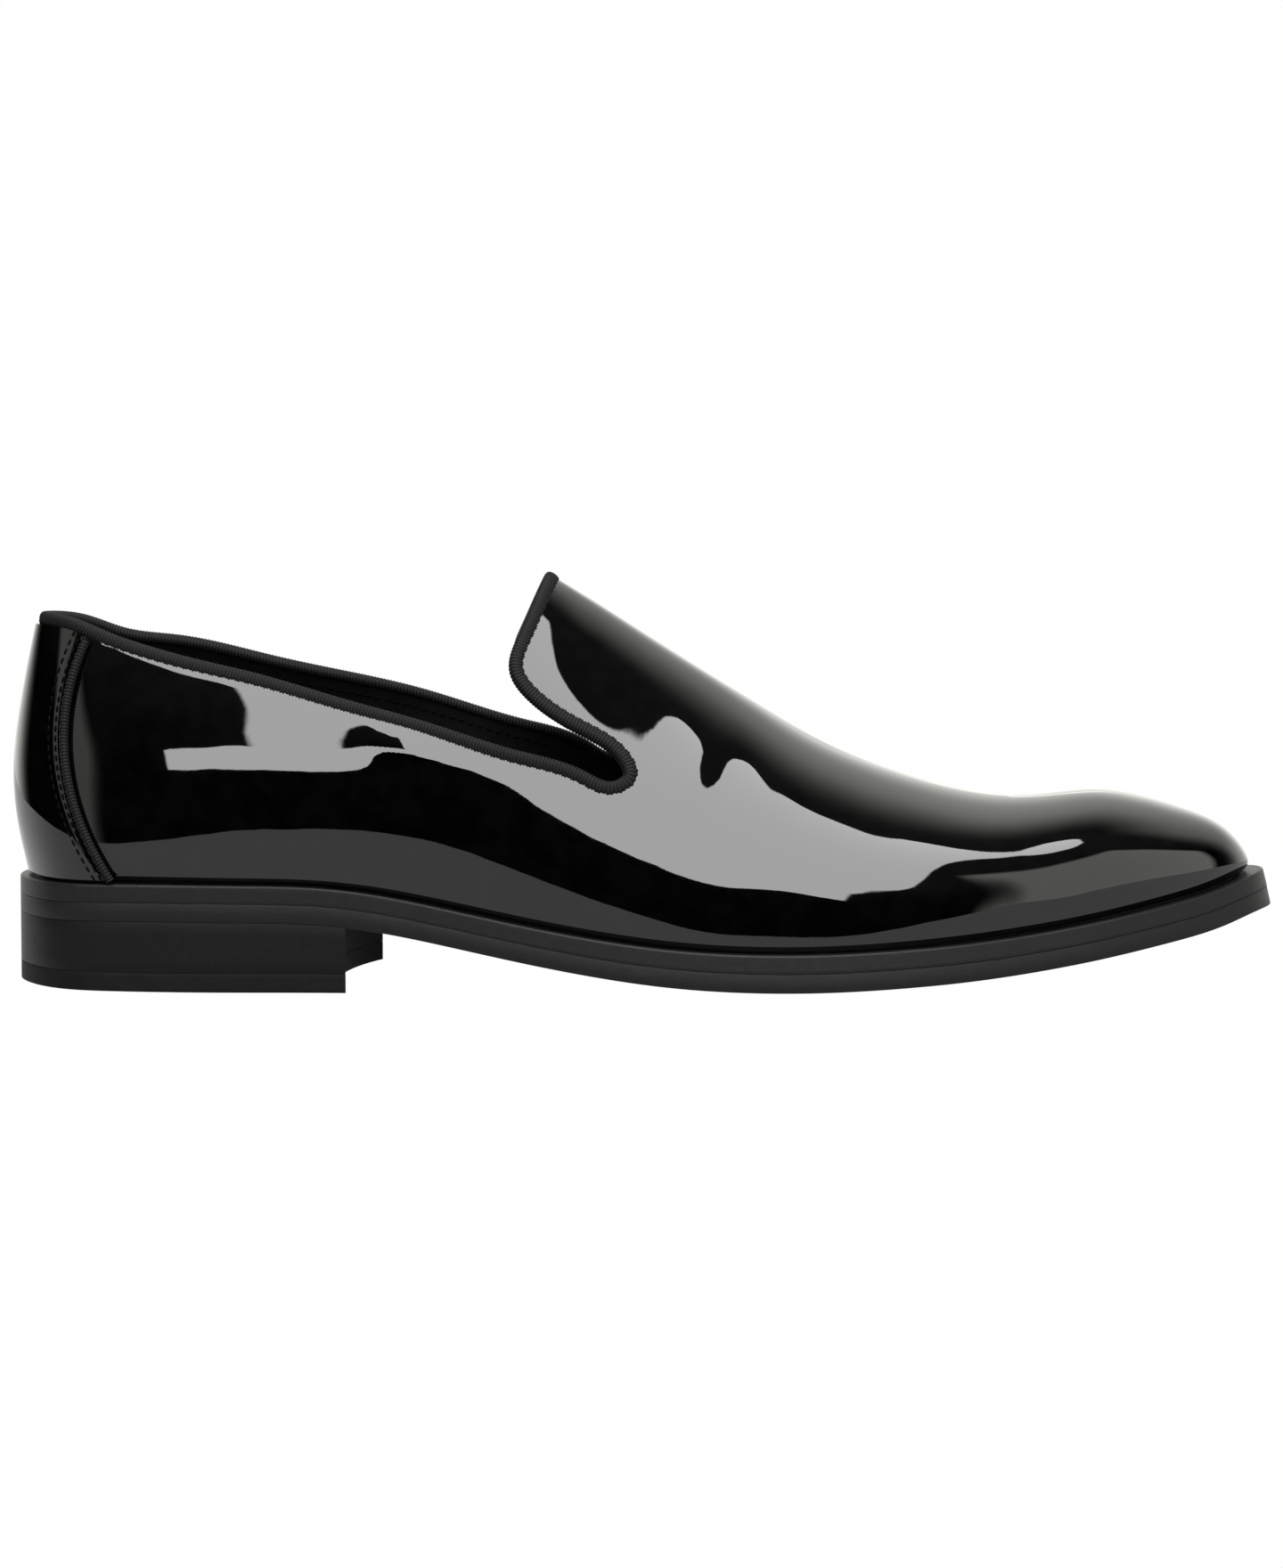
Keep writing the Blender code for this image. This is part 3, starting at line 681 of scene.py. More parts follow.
def topline_roll(skin):
    """How far the quarter rolls in towards its topline."""
    line = last_surface(*topline_on_side(-1, np.linspace(0, 1, ROLL_SAMPLES)))
    line = line[: np.argmax(line[:, 0])]
    below = np.interp(skin[..., 0], line[:, 0], line[:, 2]) - skin[..., 2]
    near = np.clip(1 - below / TOP_ROLL_REACH, 0, 1) * (below > -TOP_ROLL_ABOVE)
    x, depth = (column(TOP_ROLL_ROWS, TOP_ROLL_COLUMNS, name) for name in TOP_ROLL_COLUMNS)
    return np.interp(skin[..., 0], x, depth) * near ** 2 * (skin[..., 1] < 0)


def soft_waves(skin):
    """Height of the leather over the last: roll to the topline, and creases placed one by one."""
    height_mm = -topline_roll(skin)
    for row in WAVE_ROWS:
        wave = dict(zip(WAVE_COLUMNS, row))
        lean = math.radians(wave["lean"])
        dx = skin[..., 0] - wave["x"]
        dz = skin[..., 2] - wave["z"]
        across = (dx * math.cos(lean) - dz * math.sin(lean)) / wave["wide"]
        along = (dx * math.sin(lean) + dz * math.cos(lean)) / wave["long"]
        height_mm += wave["height"] * np.exp(-(across ** 2 + along ** 2) / 2) * (skin[..., 1] < 0)
    return height_mm


def make_upper(outside, lining):
    """Upper with its lining: one shell whose cut edge is hidden by the binding."""
    along, around = UPPER_STEPS
    angle = np.linspace(0, math.pi, along + 1)[:, None]
    turn = np.sin(np.linspace(-1, 1, around + 1) * math.pi / 2)[None, :]
    skin = last_surface(angle, turn)
    normal = last_normal(angle, turn)
    normal[0] = unit(normal[0] + normal[0, ::-1])
    inner = skin - WALL * normal
    skin = skin + (soft_waves(skin) - feather_roll(skin, station(angle)))[..., None] * normal
    quads = grid_faces(along + 1, around + 1)
    flat = skin.reshape(-1, 3)
    middle = flat[quads].mean(1)
    outer_side = np.broadcast_to(turn < 0, skin.shape[:2]).reshape(-1)[quads].any(1)
    view = middle[:, (0, 2)]
    gone = np.where(outer_side, inside(view, opening_polygon(-1)), inside(view, opening_polygon(1)))
    quads = quads[~gone]
    count = len(flat)
    edges = np.concatenate([quads[:, (k, (k + 1) % 4)] for k in range(4)])
    _, where, uses = np.unique(np.sort(edges, 1), axis=0, return_index=True, return_counts=True)
    rim_edges = edges[where[uses == 1]]
    row = rim_edges // (around + 1)
    seam = ((row == 0) | (row == along)).all(1)
    rim_edges = rim_edges[~seam]
    ahead, behind = rim_edges[:, 1], rim_edges[:, 0]
    rim_faces = np.stack([ahead, behind, behind + count, ahead + count], 1)
    faces = np.concatenate([quads, quads[:, ::-1] + count, rim_faces])
    slots = np.concatenate([np.zeros(len(quads)), np.ones(len(quads) + len(rim_faces))])
    points = np.concatenate([flat, inner.reshape(-1, 3)])
    used = np.unique(faces)
    renumber = np.zeros(len(points), int)
    renumber[used] = np.arange(len(used))
    made = piece("upper_patent", points[used], renumber[faces], [outside, lining], slots)
    put_on(made, "patent_leather", "upper")


def topline_path():
    """Points, outward and edge directions round the whole topline, evenly spaced."""
    dense = np.linspace(0, 1, BINDING_SAMPLES)
    shares = []
    for side in (-1, 1):
        run = run_along(last_surface(*topline_on_side(side, dense)))
        steps = round(run[-1] / RIB_PITCH) * RIB_STEPS
        shares.append(np.interp(np.arange(steps + 1) / steps, run / run[-1], dense))
    outer = topline_on_side(-1, shares[0])
    inner = topline_on_side(1, shares[1][::-1][1:-1])
    angle = np.concatenate([outer[0], inner[0]])
    turn = np.concatenate([outer[1], inner[1]])
    normal = last_normal(angle, turn)
    path = last_surface(angle, turn)
    path = path + normal * (soft_waves(path) - WALL / 2)[:, None]
    ahead = unit(np.roll(path, -1, 0) - np.roll(path, 1, 0))
    edge = unit(np.cross(normal, ahead))
    return path, normal, edge


def bead(path, normal, edge, width, tall, fold, outer_flange=1.0, inner_flange=1.0):
    """Ribbed bead along a path: its sections, and the value that is 1 on a rib and 0 in a groove."""
    steps = np.arange(len(path))
    rib = 0.5 + 0.5 * np.cos(2 * math.pi * steps / RIB_STEPS)
    pucker = PUCKER_HEIGHT * np.sin(2 * math.pi * run_along(path) / PUCKER_PITCH)
    sections = []
    for k in range(BEAD_STEPS):
        turned = 2 * math.pi * k / BEAD_STEPS
        out = math.copysign(abs(math.cos(turned)) ** (2 / fold), math.cos(turned))
        up = math.copysign(abs(math.sin(turned)) ** (2 / fold), math.sin(turned))
        if up < 0:
            up *= outer_flange if out >= 0 else inner_flange
        lift = RIB_HEIGHT * (rib - 0.5)
        low = max(0.0, -math.sin(turned)) * pucker
        outward = out * (width / 2 + lift)
        upward = up * (tall / 2 + lift) + low
        sections.append(path + outward[:, None] * normal + upward[:, None] * edge)
    return np.stack(sections, 1), np.repeat(rib, BEAD_STEPS)


def make_binding(ribbon):
    path, normal, edge = topline_path()
    shape = (BINDING_WIDTH, BINDING_HEIGHT, BINDING_FOLD, *BINDING_FLANGES)
    sections, rib = bead(path, normal, edge, *shape)
    points = sections.reshape(-1, 3)
    faces = grid_faces(len(path), BEAD_STEPS, True, True)
    made = piece("binding_ribbed", points, faces, [ribbon], sharp=80, attributes={"rib": rib})
    put_on(made, "grosgrain_ribbon", "binding")


def make_piping(name, side, ribbon, node):
    low = float(feather(FEATHER_BACK)) + COUNTER_FOOT
    dense = np.linspace(low, PIPING_TOP, PIPING_SAMPLES)
    run = run_along(last_surface(*place_on_side(seam_x(dense), dense, side)))
    steps = round(run[-1] / RIB_PITCH) * RIB_STEPS
    z = np.interp(np.linspace(0, run[-1], steps + 1), run, dense)
    angle, turn = place_on_side(seam_x(z), z, side)
    normal = last_normal(angle, turn)
    path = last_surface(angle, turn) + normal * (GAP + PIPING_RADIUS)
    across = np.cross(unit(np.gradient(path, axis=0)), normal)
    sections, rib = bead(path, normal, across, 2 * PIPING_RADIUS, 2 * PIPING_RADIUS, PIPING_FOLD)
    faces = [tuple(f) for f in grid_faces(len(path), BEAD_STEPS, False, True)]
    faces.append(tuple(range(BEAD_STEPS)))
    faces.append(tuple(range((len(path) - 1) * BEAD_STEPS, len(path) * BEAD_STEPS)))
    made = piece(name, sections.reshape(-1, 3), faces, [ribbon], sharp=80, attributes={"rib": rib})
    put_on(made, "grosgrain_ribbon", node)


def make_counter(patent):
    """Heel counter: a raised layer round the back with a folded edge along each seam."""
    low = float(feather(FEATHER_BACK)) + COUNTER_FOOT
    columns, rows = COUNTER_STEPS
    curves, length = topline()
    share = np.linspace(0, COUNTER_TOPLINE, COUNTER_SAMPLES)
    top_x, top_z, top_climb = (curve(share * length) for curve in curves)
    rise = np.linspace(0, 1, rows + 1)
    first_guess = 30
    sheets = []
    for side in (-1, 1):
        face = []
        back = []
        for part in np.linspace(0, 1, columns + 1):
            z = low + rise * first_guess
            for _ in range(4):
                edge_x = seam_x(z) - PIPING_RADIUS - 2 * GAP
                angle = part * place_on_side(edge_x, z, side)[0]
                up = np.clip((z - feather(station(angle))) / height(angle), 0, 1)
                turn = side * np.arccos(up) * 2 / math.pi
                x, y = last_surface(angle, turn)[-1, :2]
                top = np.interp(x, top_x, top_z) + np.interp(x, top_x, top_climb) * y
                z = low + rise * (top - BINDING_HEIGHT / 2 - GAP - low)
            fold = np.clip((1 - part) * columns / COUNTER_FOLD_STEPS, 0, 1)
            rounded = math.sqrt(1 - (1 - fold) ** 2)
            thick = COUNTER_THICKNESS * (COUNTER_EDGE + (1 - COUNTER_EDGE) * rounded)
            face.append(offset_surface(angle, turn, GAP + thick))
            back.append(offset_surface(angle, turn, GAP))
        sheets.append((np.array(face), np.array(back)))
    face, back = (np.concatenate([outer[::-1], inner[1:]]) for outer, inner in zip(*sheets))
    ring = np.concatenate([face, back[:, ::-1]], 1)
    size = ring.shape[1]
    faces = [tuple(f) for f in grid_faces(len(ring), size, False, True)]
    for end in (0, (len(ring) - 1) * size):
        faces += [(end + k, end + k + 1, end + size - 2 - k, end + size - 1 - k) for k in range(rows)]
    made = piece("counter_patent", ring.reshape(-1, 3), faces, [patent], sharp=60)
    put_on(made, "patent_leather", "counter")


def plan(angles, across, margin):
    """Points of the sole's plan between its outer and inner rim."""
    share = (across + 1) / 2
    return sole_outline(angles, -1, margin) * (1 - share) + sole_outline(angles, 1, margin) * share


def make_layer(name, low_margin, top_margin, low, top, soft, materials, attributes=True):
    """Layer of the sole from heel to toe with softened edges: margins and levels of both faces."""
    angles = np.linspace(0, math.pi, SOLE_STEPS + 1)
    x = station(angles)
    across = np.linspace(-1, 1, ACROSS_STEPS + 1)
    ring = []
    levels = []

    def spot(at, margin, level, lift):
        flat = plan(angles, at, margin)
        ring.append(np.column_stack([flat, level(flat[:, 0], at) + lift]))
        levels.append(ring[-1][:, 2] - rim(flat[:, 0]))

    for at in across:
        spot(at, low_margin(x) - soft, low, 0)
    for at, order in ((1, slice(None)), (-1, slice(None, None, -1))):
        side = (
            (low_margin(x) - soft / 3, low, soft / 3),
            (low_margin(x), low, soft),
            ((low_margin(x) + top_margin(x)) / 2, low, OUTSOLE / 2),
            (top_margin(x), top, -soft),
            (top_margin(x) - soft / 3, top, -soft / 3),
        )
        for margin, level, lift in side[order]:
            spot(at, margin, level, lift)
        if at == 1:
            for back in across[::-1]:
                spot(back, top_margin(x) - soft, top, 0)
    points = np.stack(ring, 1)
    faces = grid_faces(len(angles), len(ring), False, True)
    values = {"level": np.stack(levels, 1).reshape(-1)} if attributes else None
    return piece(name, points.reshape(-1, 3), faces, materials, attributes=values)


def make_soles(tread_material, sock):
    def outsole_top_margin(x):
        return edge_margin(x) - edge_slope(x) / 2

    def insole_margin(x):
        return np.full_like(x, -WALL - 2 * GAP)

    def outsole_top(x, across):
        return tread(x, across) + OUTSOLE

    def insole_low(x, across):
        return tread(x, across) + OUTSOLE + GAP

    def insole_top(x, across):
        return tread(x, across) + OUTSOLE + WELT + GAP + INSOLE_ABOVE_WELT

    made = make_layer(
        "outsole_edged", edge_margin, outsole_top_margin, tread, outsole_top, OUTSOLE_SOFT,
        [tread_material])
    put_on(made, "outsole_leather", "outsole")
    made = make_layer(
        "insole_sock", insole_margin, insole_margin, insole_low, insole_top, INSOLE_SOFT, [sock], False)
    put_on(made, "sock_leather", "insole")


def make_welt(edge):
    """Strip between upper and outsole with a softened upper edge."""
    angles = np.linspace(0, math.pi, SOLE_STEPS + 1)
    x = station(angles)
    low = OUTSOLE + SEAM
    wide = edge_margin(x) - edge_slope(x) / 2
    narrow = edge_margin(x) - edge_slope(x)
    inner = np.full_like(x, -WALL - GAP)
    soft = WELT_SOFT
    section = [(wide - soft, low), (wide - soft / 3, low + soft / 3), (wide, low + soft)]
    for k in range(1, WELT_STEPS):
        share = k / WELT_STEPS
        above = low + soft + (WELT - soft - WELT_ROUND) * share
        section.append((wide + (narrow - wide) * share, above))
    for k in range(WELT_STEPS + 1):
        turned = math.pi / 2 * k / WELT_STEPS
        inset = WELT_ROUND * (1 - math.cos(turned))
        section.append((narrow - inset, low + WELT - WELT_ROUND + WELT_ROUND * math.sin(turned)))
    section += [((narrow - WELT_ROUND + inner) / 2, low + WELT), (inner, low + WELT), (inner, low)]
    rings = []
    levels = []
    for side, order in ((-1, slice(None)), (1, slice(-2, 0, -1))):
        spots = []
        heights = []
        for margin, above in section:
            flat = sole_outline(angles, side, margin)
            spots.append(np.column_stack([flat, rim(flat[:, 0]) + above]))
            heights.append(np.full(len(angles), above))
        rings.append(np.stack(spots, 1)[order])
        levels.append(np.stack(heights, 1)[order])
    points = np.concatenate(rings)
    faces = grid_faces(len(points), len(section), True, True)
    values = {"level": np.concatenate(levels).reshape(-1)}
    made = piece("welt_edged", points.reshape(-1, 3), faces, [edge], attributes=values)
    put_on(made, "welt_edge", "welt")


def heel_outline():
    """Plan of the heel: round the back from the outer to the inner corner, then the hollow front."""
    half_chord = math.hypot(BREAST_HALF_WIDTH, (BREAST_INNER_X - BREAST_OUTER_X) / 2)
    radius = (half_chord ** 2 + BREAST_HOLLOW ** 2) / (2 * BREAST_HOLLOW)
    skew = math.atan2((BREAST_INNER_X - BREAST_OUTER_X) / 2, BREAST_HALF_WIDTH)
    middle = (BREAST_INNER_X + BREAST_OUTER_X) / 2
    ahead = radius - BREAST_HOLLOW
    centre = np.array([middle + ahead * math.cos(skew), -ahead * math.sin(skew)])
    angles = np.linspace(0, float(angle_at(HEEL_FRONT)), HEEL_SAMPLES)
    sides = []
    for side in (-1, 1):
        line = sole_outline(angles, side, edge_margin(station(angles)))
        away = np.linalg.norm(line - centre, axis=1) - radius
        last = int(np.argmax(away < 0))
        share = away[last - 1] / (away[last - 1] - away[last])
        corner = line[last - 1] + (line[last] - line[last - 1]) * share
        sides.append(np.concatenate([line[:last], [corner]]))
    turns = [math.atan2(*(side[-1] - centre)[::-1]) % (2 * math.pi) for side in sides]
    arc = np.linspace(turns[1], turns[0], BREAST_SAMPLES)[1:-1]
    front = centre + radius * np.column_stack([np.cos(arc), np.sin(arc)])
    return np.concatenate([sides[0][::-1], sides[1][1:], front]), len(front) + 1


def make_heel(name, low, top, materials, slot, node):
    """Layer of the heel with softened edges; low and top give its faces over the plan."""
    outline, breast = heel_outline()
    along = unit(np.roll(outline, -1, 0) - np.roll(outline, 1, 0))
    out = np.column_stack([along[:, 1], -along[:, 0]])
    middle = outline.mean(0)
    if ((outline - middle) * out).sum() < 0:
        out = -out
    floor = low(outline[:, 0])
    ceiling = top(outline[:, 0])
    soft = HEEL_SOFT
    levels = [(soft, floor), (soft / 3, floor + soft / 3), (0, floor + soft)]
    for share in (0.25, 0.5, 0.75):
        levels.append((0, floor + (ceiling - floor) * share))
    levels += [(0, ceiling - soft), (soft / 3, ceiling - soft / 3), (soft, ceiling)]
    rings = [np.column_stack([outline - inset * out, z]) for inset, z in levels]
    size = len(outline)
    faces = [tuple(f) for f in grid_faces(len(rings), size, False, True)]
    # Faces of the hollow front take the second material, whose darker colour is painted shade
    slots = [int(k % size >= size - breast) for k in range(len(faces))]
    cap = geometry.tessellate_polygon([[Vector((x, y, 0)) for x, y in outline]])
    last = (len(rings) - 1) * size
    faces += [tuple(c) for c in cap]
    faces += [(c + last, b + last, a + last) for a, b, c in cap]
    slots += [0] * (2 * len(cap))
    points = np.concatenate(rings)
    flat = list(range(-2 * len(cap), 0))
    made = piece(name, points, faces, materials, slots, attributes={"level": points[:, 2]}, flat=flat)
    put_on(made, slot, node)


def stitch_tree(thread):
    """Row of stitches along a curve: each is a short round of thread that lies along the row."""
    tree = bpy.data.node_groups.new("stitch_row", "GeometryNodeTree")
    tree.interface.new_socket("Row", in_out="INPUT", socket_type="NodeSocketGeometry")
    for name in ("Pitch", "Length", "Width"):
        tree.interface.new_socket(name, in_out="INPUT", socket_type="NodeSocketFloat")
    tree.interface.new_socket("Stitches", in_out="OUTPUT", socket_type="NodeSocketGeometry")
    given = add(tree, "NodeGroupInput").outputs
    inputs = {"Curve": given["Row"], "Length": given["Pitch"]}
    spaced = add(tree, "GeometryNodeResampleCurve", inputs, mode="LENGTH")
    tangent = add(tree, "GeometryNodeInputTangent").outputs["Tangent"]
    turned = add(tree, "FunctionNodeAlignRotationToVector", {"Vector": tangent}, axis="X")
    round_thread = add(tree, "GeometryNodeMeshUVSphere", {"Segments": 10, "Rings": 7, "Radius": 0.5})
    inputs = {"X": given["Length"], "Y": given["Width"], "Z": given["Width"]}
    size = add(tree, "ShaderNodeCombineXYZ", inputs)
    inputs = {"Geometry": round_thread.outputs["Mesh"], "Scale": size.outputs[0]}
    shaped = add(tree, "GeometryNodeTransform", inputs)
    inputs = {"Points": spaced.outputs["Curve"], "Instance": shaped.outputs["Geometry"],
              "Rotation": turned.outputs["Rotation"]}
    placed = add(tree, "GeometryNodeInstanceOnPoints", inputs)
    real = add(tree, "GeometryNodeRealizeInstances", {"Geometry": placed.outputs["Instances"]})
    smooth = add(tree, "GeometryNodeSetShadeSmooth", {"Geometry": real.outputs["Geometry"]})
    inputs = {"Geometry": smooth.outputs["Geometry"], "Material": thread}
    painted = add(tree, "GeometryNodeSetMaterial", inputs)
    add(tree, "NodeGroupOutput", {"Stitches": painted.outputs["Geometry"]})
    return tree


def stitch_rows(name, lines, tree, thread, slot):
    """Plain mesh of the stitches along some lines of points."""
    curve = bpy.data.curves.new(name + "_rows", "CURVE")
    curve.dimensions = "3D"
    for line in lines:
        row = curve.splines.new("POLY")
        row.points.add(len(line) - 1)
        spots = np.column_stack([line * MM + ORIGIN, np.ones(len(line))])
        row.points.foreach_set("co", spots.reshape(-1))
    guide = bpy.data.objects.new(name + "_rows", curve)
    bpy.context.collection.objects.link(guide)
    modifier = guide.modifiers.new("stitches", "NODES")
    modifier.node_group = tree
    values = {"Pitch": STITCH_PITCH * MM, "Length": STITCH_LENGTH * MM, "Width": STITCH_WIDTH * MM}
    for item in tree.interface.items_tree:
        if item.item_type == "SOCKET" and item.name in values:
            modifier[item.identifier] = values[item.name]
    graph = bpy.context.evaluated_depsgraph_get()
    mesh = bpy.data.meshes.new_from_object(guide.evaluated_get(graph))
    bpy.data.objects.remove(guide)
    mesh.name = name
    mesh.materials.clear()
    mesh.materials.append(thread)
    made = bpy.data.objects.new(name, mesh)
    bpy.context.collection.objects.link(made)
    put_on(made, slot)


def make_stitches(thread):
    tree = stitch_tree(thread)
    low = float(feather(FEATHER_BACK)) + COUNTER_FOOT + STITCH_ABOVE_FOOT
    z = np.linspace(low, PIPING_TOP + STITCH_ABOVE_PIPING, STITCH_SAMPLES)
    lines = []
    for side in (-1, 1):
        for behind in STITCH_BEHIND_SEAM:
            angle, turn = place_on_side(seam_x(z) - behind, z, side)
            lines.append(offset_surface(angle, turn, GAP + COUNTER_THICKNESS + STITCH_PROUD))
    stitch_rows("counter_stitches", lines, tree, thread, "patent_leather")
    share = np.linspace(*LINING_STITCH_SPAN, LINING_STITCH_SAMPLES)
    lines = []
    for side in (-1, 1):
        spots = last_surface(*topline_on_side(side, share))
        angle, turn = place_on_side(spots[:, 0], spots[:, 2] - LINING_STITCH_BELOW, side)
        lines.append(offset_surface(angle, turn, -WALL - LINING_STITCH_PROUD))
    stitch_rows("lining_stitches", lines, tree, thread, "sock_leather")


def make_shoe():
    patent = patent_material()
    ribbon = ribbon_material()
    # Lining leather: fine grain and little shine, so that the inside stays dark and soft
    lining = grained_material("lining_leather_grained", "#030303", "#060606", 5, 0.9, 3.0, (0.5, 0.7), 0.12)
    # Sock leather: paler where it is worn, with open pores
    sock = grained_material("sock_leather_matt", "#0c0c0c", "#191919", 18, 0.7, 2.0, (0.55, 0.75), 0.3)
    # Rubber: dull black with a moulded grain
    rubber = grained_material(
        "top_lift_rubber_moulded", "#060606", "#0a0a0a", 4, 0.5, 2.0, (0.6, 0.75), 0.12)
    # Edges: the welt is burnished most; the heel's front is darker and almost without shine, as painted
    # shade for the shade under the heel
    tread_edge = edge_material("outsole_leather_dyed", "#080808", "#101010", 0.45, 1.6, 0.17)
    stack = edge_material("heel_stack_dyed", "#050505", "#0a0a0a", 0.45, 1.6, 0.12)
    breast = edge_material("heel_breast_shaded", "#030303", "#070707", 0.6, 1.6, 0.012)
    welt = edge_material("welt_edge_burnished", "#090909", "#121212", 0.42, 1.4, 0.17)
    make_upper(patent, lining)
    make_binding(ribbon)
    make_piping("piping_outer_ribbed", -1, ribbon, "piping_outer")
    make_piping("piping_inner_ribbed", 1, ribbon, "piping_inner")
    make_counter(patent)
    make_soles(tread_edge, sock)
    make_welt(welt)
    make_heel(
        "heel_block_stacked", lambda x: np.full_like(x, HEEL_TOP_LIFT + SEAM), lambda x: rim(x) - SEAM,
        [stack, breast], "heel_stack", "heel_block")
    make_heel(
        "heel_top_lift_rubber", lambda x: np.zeros_like(x), lambda x: np.full_like(x, HEEL_TOP_LIFT),
        [rubber, breast], "top_lift_rubber", "heel_top_lift")
    make_stitches(thread_material())


def find_origin():
    """Where the tables' zero lies in the row frame, from the box of the outsole."""
    angles = np.linspace(0, math.pi, SOLE_STEPS + 1)
    rims = np.concatenate([sole_outline(angles, side, edge_margin(station(angles))) for side in (-1, 1)])
    middle = (rims.min(0) + rims.max(0)) / 2
    low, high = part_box("outsole")
    return np.array([(low[0] + high[0]) / 2 - middle[0] * MM, (low[1] + high[1]) / 2 - middle[1] * MM, 0])


def make_camera():
    camera = bpy.data.objects.new("camera", bpy.data.cameras.new("camera"))
    bpy.context.collection.objects.link(camera)
    camera.data.sensor_width = CAMERA_SENSOR
    camera.data.lens = CAMERA_LENS
    camera.data.clip_start = CAMERA_CLIP * MM
    raised = math.radians(CAMERA_ELEVATION)
    back = np.array([0, -math.cos(raised), math.sin(raised)])
    camera.location = np.array(CAMERA_TARGET) * MM + ORIGIN + CAMERA_DISTANCE * MM * back
    camera.rotation_euler = (math.pi / 2 - raised, 0, 0)
    bpy.context.scene.camera = camera


def box_edge(tree, along, name):
    """Distance of one edge of the soft box from the left of its frame, as a share of the frame."""
    node = add(tree, "ShaderNodeFloatCurve", {"Value": along})
    curve = node.mapping.curves[0]
    spots = []
    for row in BOX_ROWS:
        edge = dict(zip(BOX_COLUMNS, row))
        share = (edge["y"] - BOX_START[0]) / (BOX_END[0] - BOX_START[0])
        spots.append((share, (edge[name] - BOX_SPAN[0]) / (BOX_SPAN[1] - BOX_SPAN[0])))
    for _ in spots[2:]:
        curve.points.new(0.5, 0.5)
    for point, spot in zip(curve.points, spots):
        point.location = spot
        point.handle_type = "VECTOR"
    node.mapping.update()
    return node.outputs["Value"]


def make_soft_box():
    """Leaning soft box whose mirror image gives the large pale patch on quarter, tongue and vamp."""
    light = bpy.data.lights.new("soft_box", "AREA")
    light.shape = "RECTANGLE"
    rise = (BOX_END[0] - BOX_START[0], BOX_END[1] - BOX_START[1])
    light.size = (BOX_SPAN[1] - BOX_SPAN[0]) * MM
    light.size_y = math.hypot(*rise) * MM
    light.energy = BOX_BRIGHTNESS * math.pi * light.size * light.size_y
    light.use_nodes = True
    tree = light.node_tree
    tree.nodes.clear()
    place = add(tree, "ShaderNodeNewGeometry").outputs["Parametric"]
    parts = add(tree, "ShaderNodeSeparateXYZ", {"Vector": place}).outputs
    soft = BOX_SOFT / (BOX_SPAN[1] - BOX_SPAN[0])
    inputs = {0: parts["X"], 1: box_edge(tree, parts["Y"], "left")}
    from_left = add(tree, "ShaderNodeMath", inputs, operation="SUBTRACT").outputs[0]
    inputs = {0: box_edge(tree, parts["Y"], "right"), 1: parts["X"]}
    from_right = add(tree, "ShaderNodeMath", inputs, operation="SUBTRACT").outputs[0]
    nearer = add(tree, "ShaderNodeMath", {0: from_left, 1: from_right}, operation="MINIMUM").outputs[0]
    inputs = {"Value": nearer, "From Min": -soft / 2, "From Max": soft / 2}
    shown = add(tree, "ShaderNodeMapRange", inputs, interpolation_type="SMOOTHSTEP").outputs["Result"]
    glow = add(tree, "ShaderNodeEmission", {"Strength": shown})
    add(tree, "ShaderNodeOutputLight", {"Surface": glow.outputs[0]})
    lamp = bpy.data.objects.new("soft_box", light)
    middle = (sum(BOX_SPAN) / 2, (BOX_START[0] + BOX_END[0]) / 2, (BOX_START[1] + BOX_END[1]) / 2)
    lamp.location = np.array(middle) * MM + ORIGIN
    lamp.rotation_euler = (math.atan2(rise[1], rise[0]), 0, 0)
    bpy.context.collection.objects.link(lamp)


def window(tree, value, middle, half, soft):
    """1 inside a range of a value and 0 outside it, with soft edges."""
    away = add(tree, "ShaderNodeMath", {0: value, 1: middle}, operation="SUBTRACT").outputs[0]
    size = add(tree, "ShaderNodeMath", {0: away}, operation="ABSOLUTE").outputs[0]
    inputs = {"Value": size, "From Min": half - soft / 2, "From Max": half + soft / 2}
    inputs.update({"To Min": 1.0, "To Max": 0.0})
    return add(tree, "ShaderNodeMapRange", inputs, interpolation_type="SMOOTHSTEP").outputs["Result"]


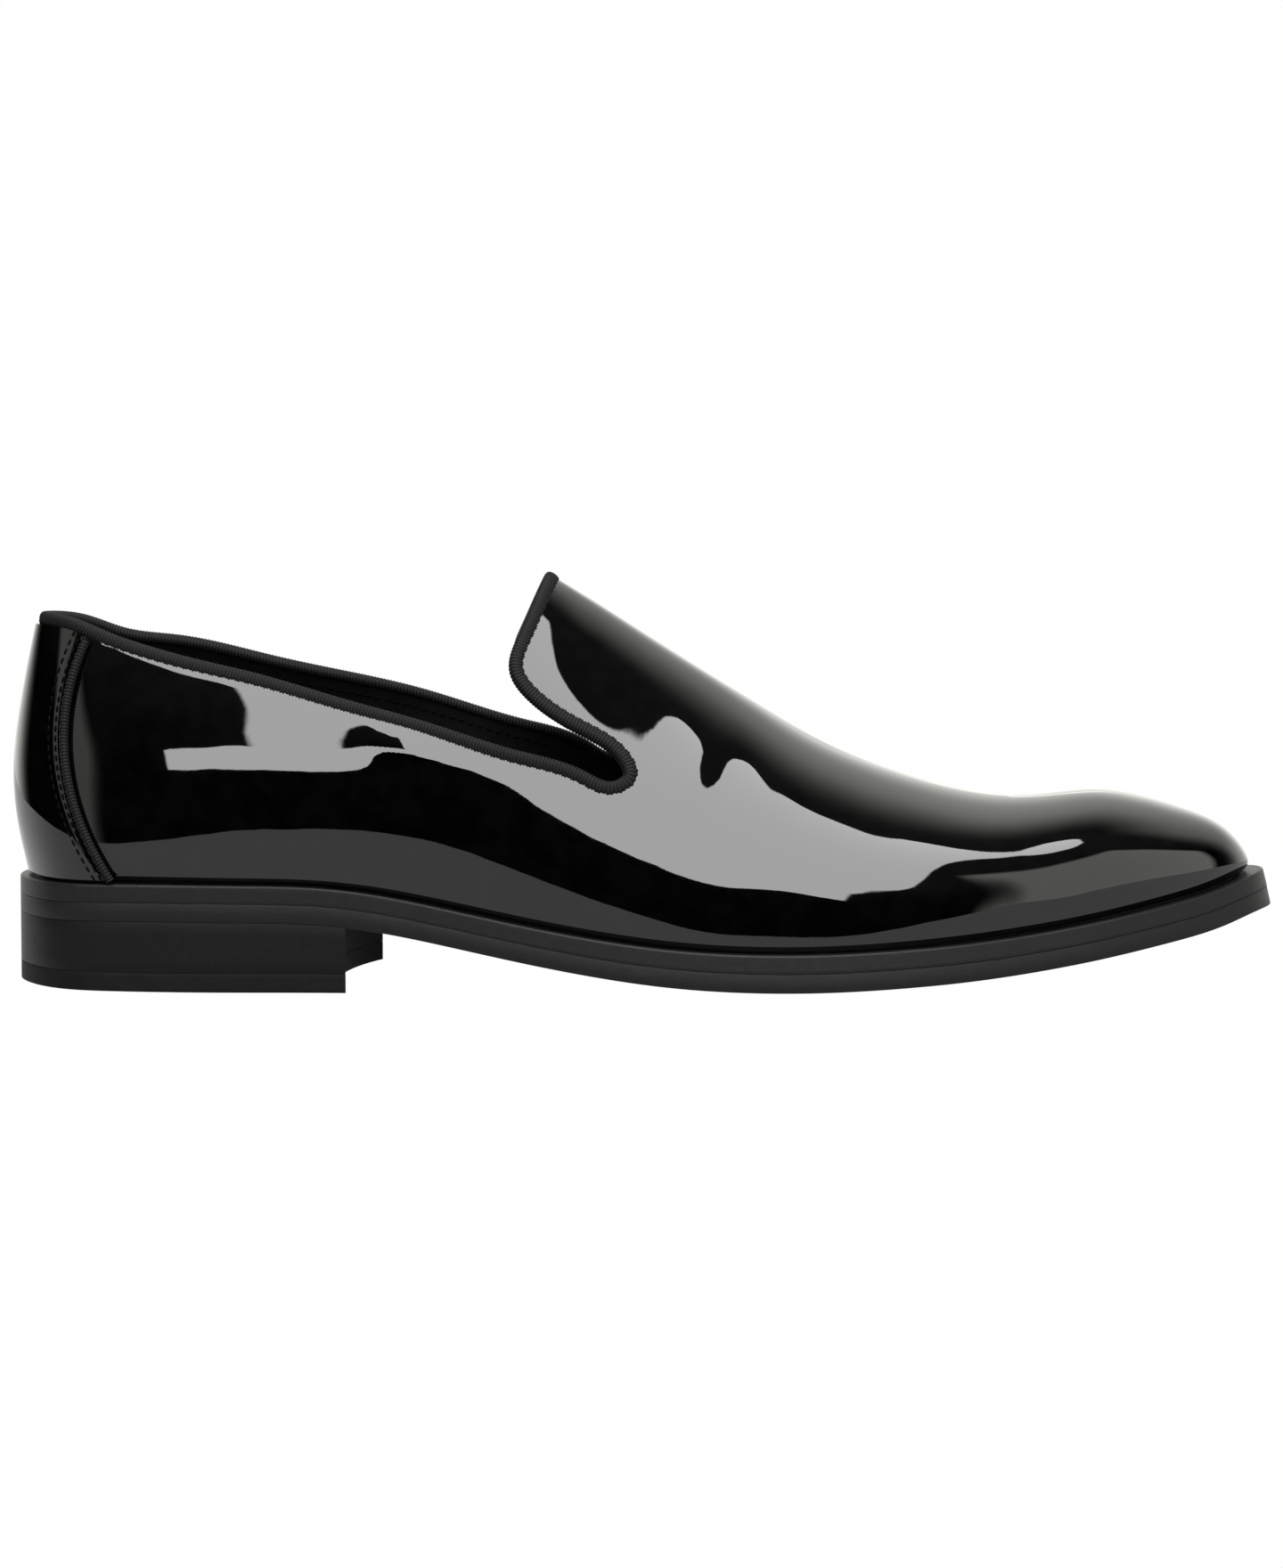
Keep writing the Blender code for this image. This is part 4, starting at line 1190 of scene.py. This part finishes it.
def make_world():
    """Dark studio with pale boards round it; the camera itself sees a white room."""
    world = bpy.data.worlds.new("studio")
    bpy.context.scene.world = world
    world.use_nodes = True
    tree = world.node_tree
    tree.nodes.clear()
    way = add(tree, "ShaderNodeTexCoord").outputs["Generated"]
    parts = add(tree, "ShaderNodeSeparateXYZ", {"Vector": way}).outputs
    azimuth = add(tree, "ShaderNodeMath", {0: parts["X"], 1: parts["Y"]}, operation="ARCTAN2").outputs[0]
    azimuth = add(tree, "ShaderNodeMath", {0: azimuth}, operation="DEGREES").outputs[0]
    elevation = add(tree, "ShaderNodeMath", {0: parts["Z"]}, operation="ARCSINE").outputs[0]
    elevation = add(tree, "ShaderNodeMath", {0: elevation}, operation="DEGREES").outputs[0]
    low, high = CEILING_EDGES
    inputs = {"Value": elevation, "From Min": low, "From Max": high, "To Min": 0.0, "To Max": CEILING}
    total = add(tree, "ShaderNodeMapRange", inputs, interpolation_type="SMOOTHSTEP").outputs["Result"]
    for row in BOARD_ROWS:
        board = dict(zip(BOARD_COLUMNS, row))
        across = window(tree, azimuth, board["azimuth"], board["half_width"], board["soft"])
        inputs = {0: azimuth, 1: board["azimuth"]}
        turned = add(tree, "ShaderNodeMath", inputs, operation="SUBTRACT").outputs[0]
        inputs = {0: turned, 1: board["fall"], 2: elevation}
        slanted = add(tree, "ShaderNodeMath", inputs, operation="MULTIPLY_ADD").outputs[0]
        upright = window(tree, slanted, board["elevation"], board["half_height"], board["soft"])
        under = window(tree, elevation, board["top"] - HALF_TURN, HALF_TURN, board["soft"])
        upright = add(tree, "ShaderNodeMath", {0: upright, 1: under}, operation="MULTIPLY").outputs[0]
        both = add(tree, "ShaderNodeMath", {0: across, 1: upright}, operation="MULTIPLY").outputs[0]
        inputs = {0: both, 1: board["brightness"], 2: total}
        total = add(tree, "ShaderNodeMath", inputs, operation="MULTIPLY_ADD").outputs[0]
    room = add(tree, "ShaderNodeBackground", {"Color": linear("#fffffa"), "Strength": total})
    white = add(tree, "ShaderNodeBackground", {"Color": (1, 1, 1, 1), "Strength": 1.0})
    seen = add(tree, "ShaderNodeLightPath").outputs["Is Camera Ray"]
    mixed = add(tree, "ShaderNodeMixShader", {0: seen, 1: room.outputs[0], 2: white.outputs[0]})
    add(tree, "ShaderNodeOutputWorld", {"Surface": mixed.outputs[0]})


def make_floor():
    """White paper lit from behind: no shadow falls on it, and the shoe mirrors it as a grey band."""
    mesh = bpy.data.meshes.new("floor")
    left, reach = -FLOOR_LEFT * MM, FLOOR_REACH * MM
    corners = [(left, -reach, 0), (reach, -reach, 0), (reach, reach, 0), (left, reach, 0)]
    mesh.from_pydata(corners, [], [(0, 1, 2, 3)])
    material, tree, shader, place = new_material("white_paper_floor")
    fibre = add(tree, "ShaderNodeTexNoise", {"Vector": place, "Scale": per_mm(2)}).outputs["Fac"]
    feed(tree, shader, {
        "Base Color": linear("#000000"), "Roughness": 0.9, "Specular IOR Level": 0.0,
        "Emission Color": tint(tree, fibre, "#fefefe", "#ffffff"), "Emission Strength": 1.0,
    })
    mesh.materials.append(material)
    floor = bpy.data.objects.new("floor", mesh)
    bpy.context.collection.objects.link(floor)


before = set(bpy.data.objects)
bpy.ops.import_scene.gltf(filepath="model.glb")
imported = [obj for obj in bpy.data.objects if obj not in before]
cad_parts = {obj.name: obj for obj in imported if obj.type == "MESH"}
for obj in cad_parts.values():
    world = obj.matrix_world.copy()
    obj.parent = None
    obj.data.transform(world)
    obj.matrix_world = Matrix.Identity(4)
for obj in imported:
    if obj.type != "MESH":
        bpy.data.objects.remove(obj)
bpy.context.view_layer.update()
ORIGIN = find_origin()
bpy.context.scene.view_settings.view_transform = "Standard"
make_shoe()
make_camera()
make_soft_box()
make_world()
make_floor()
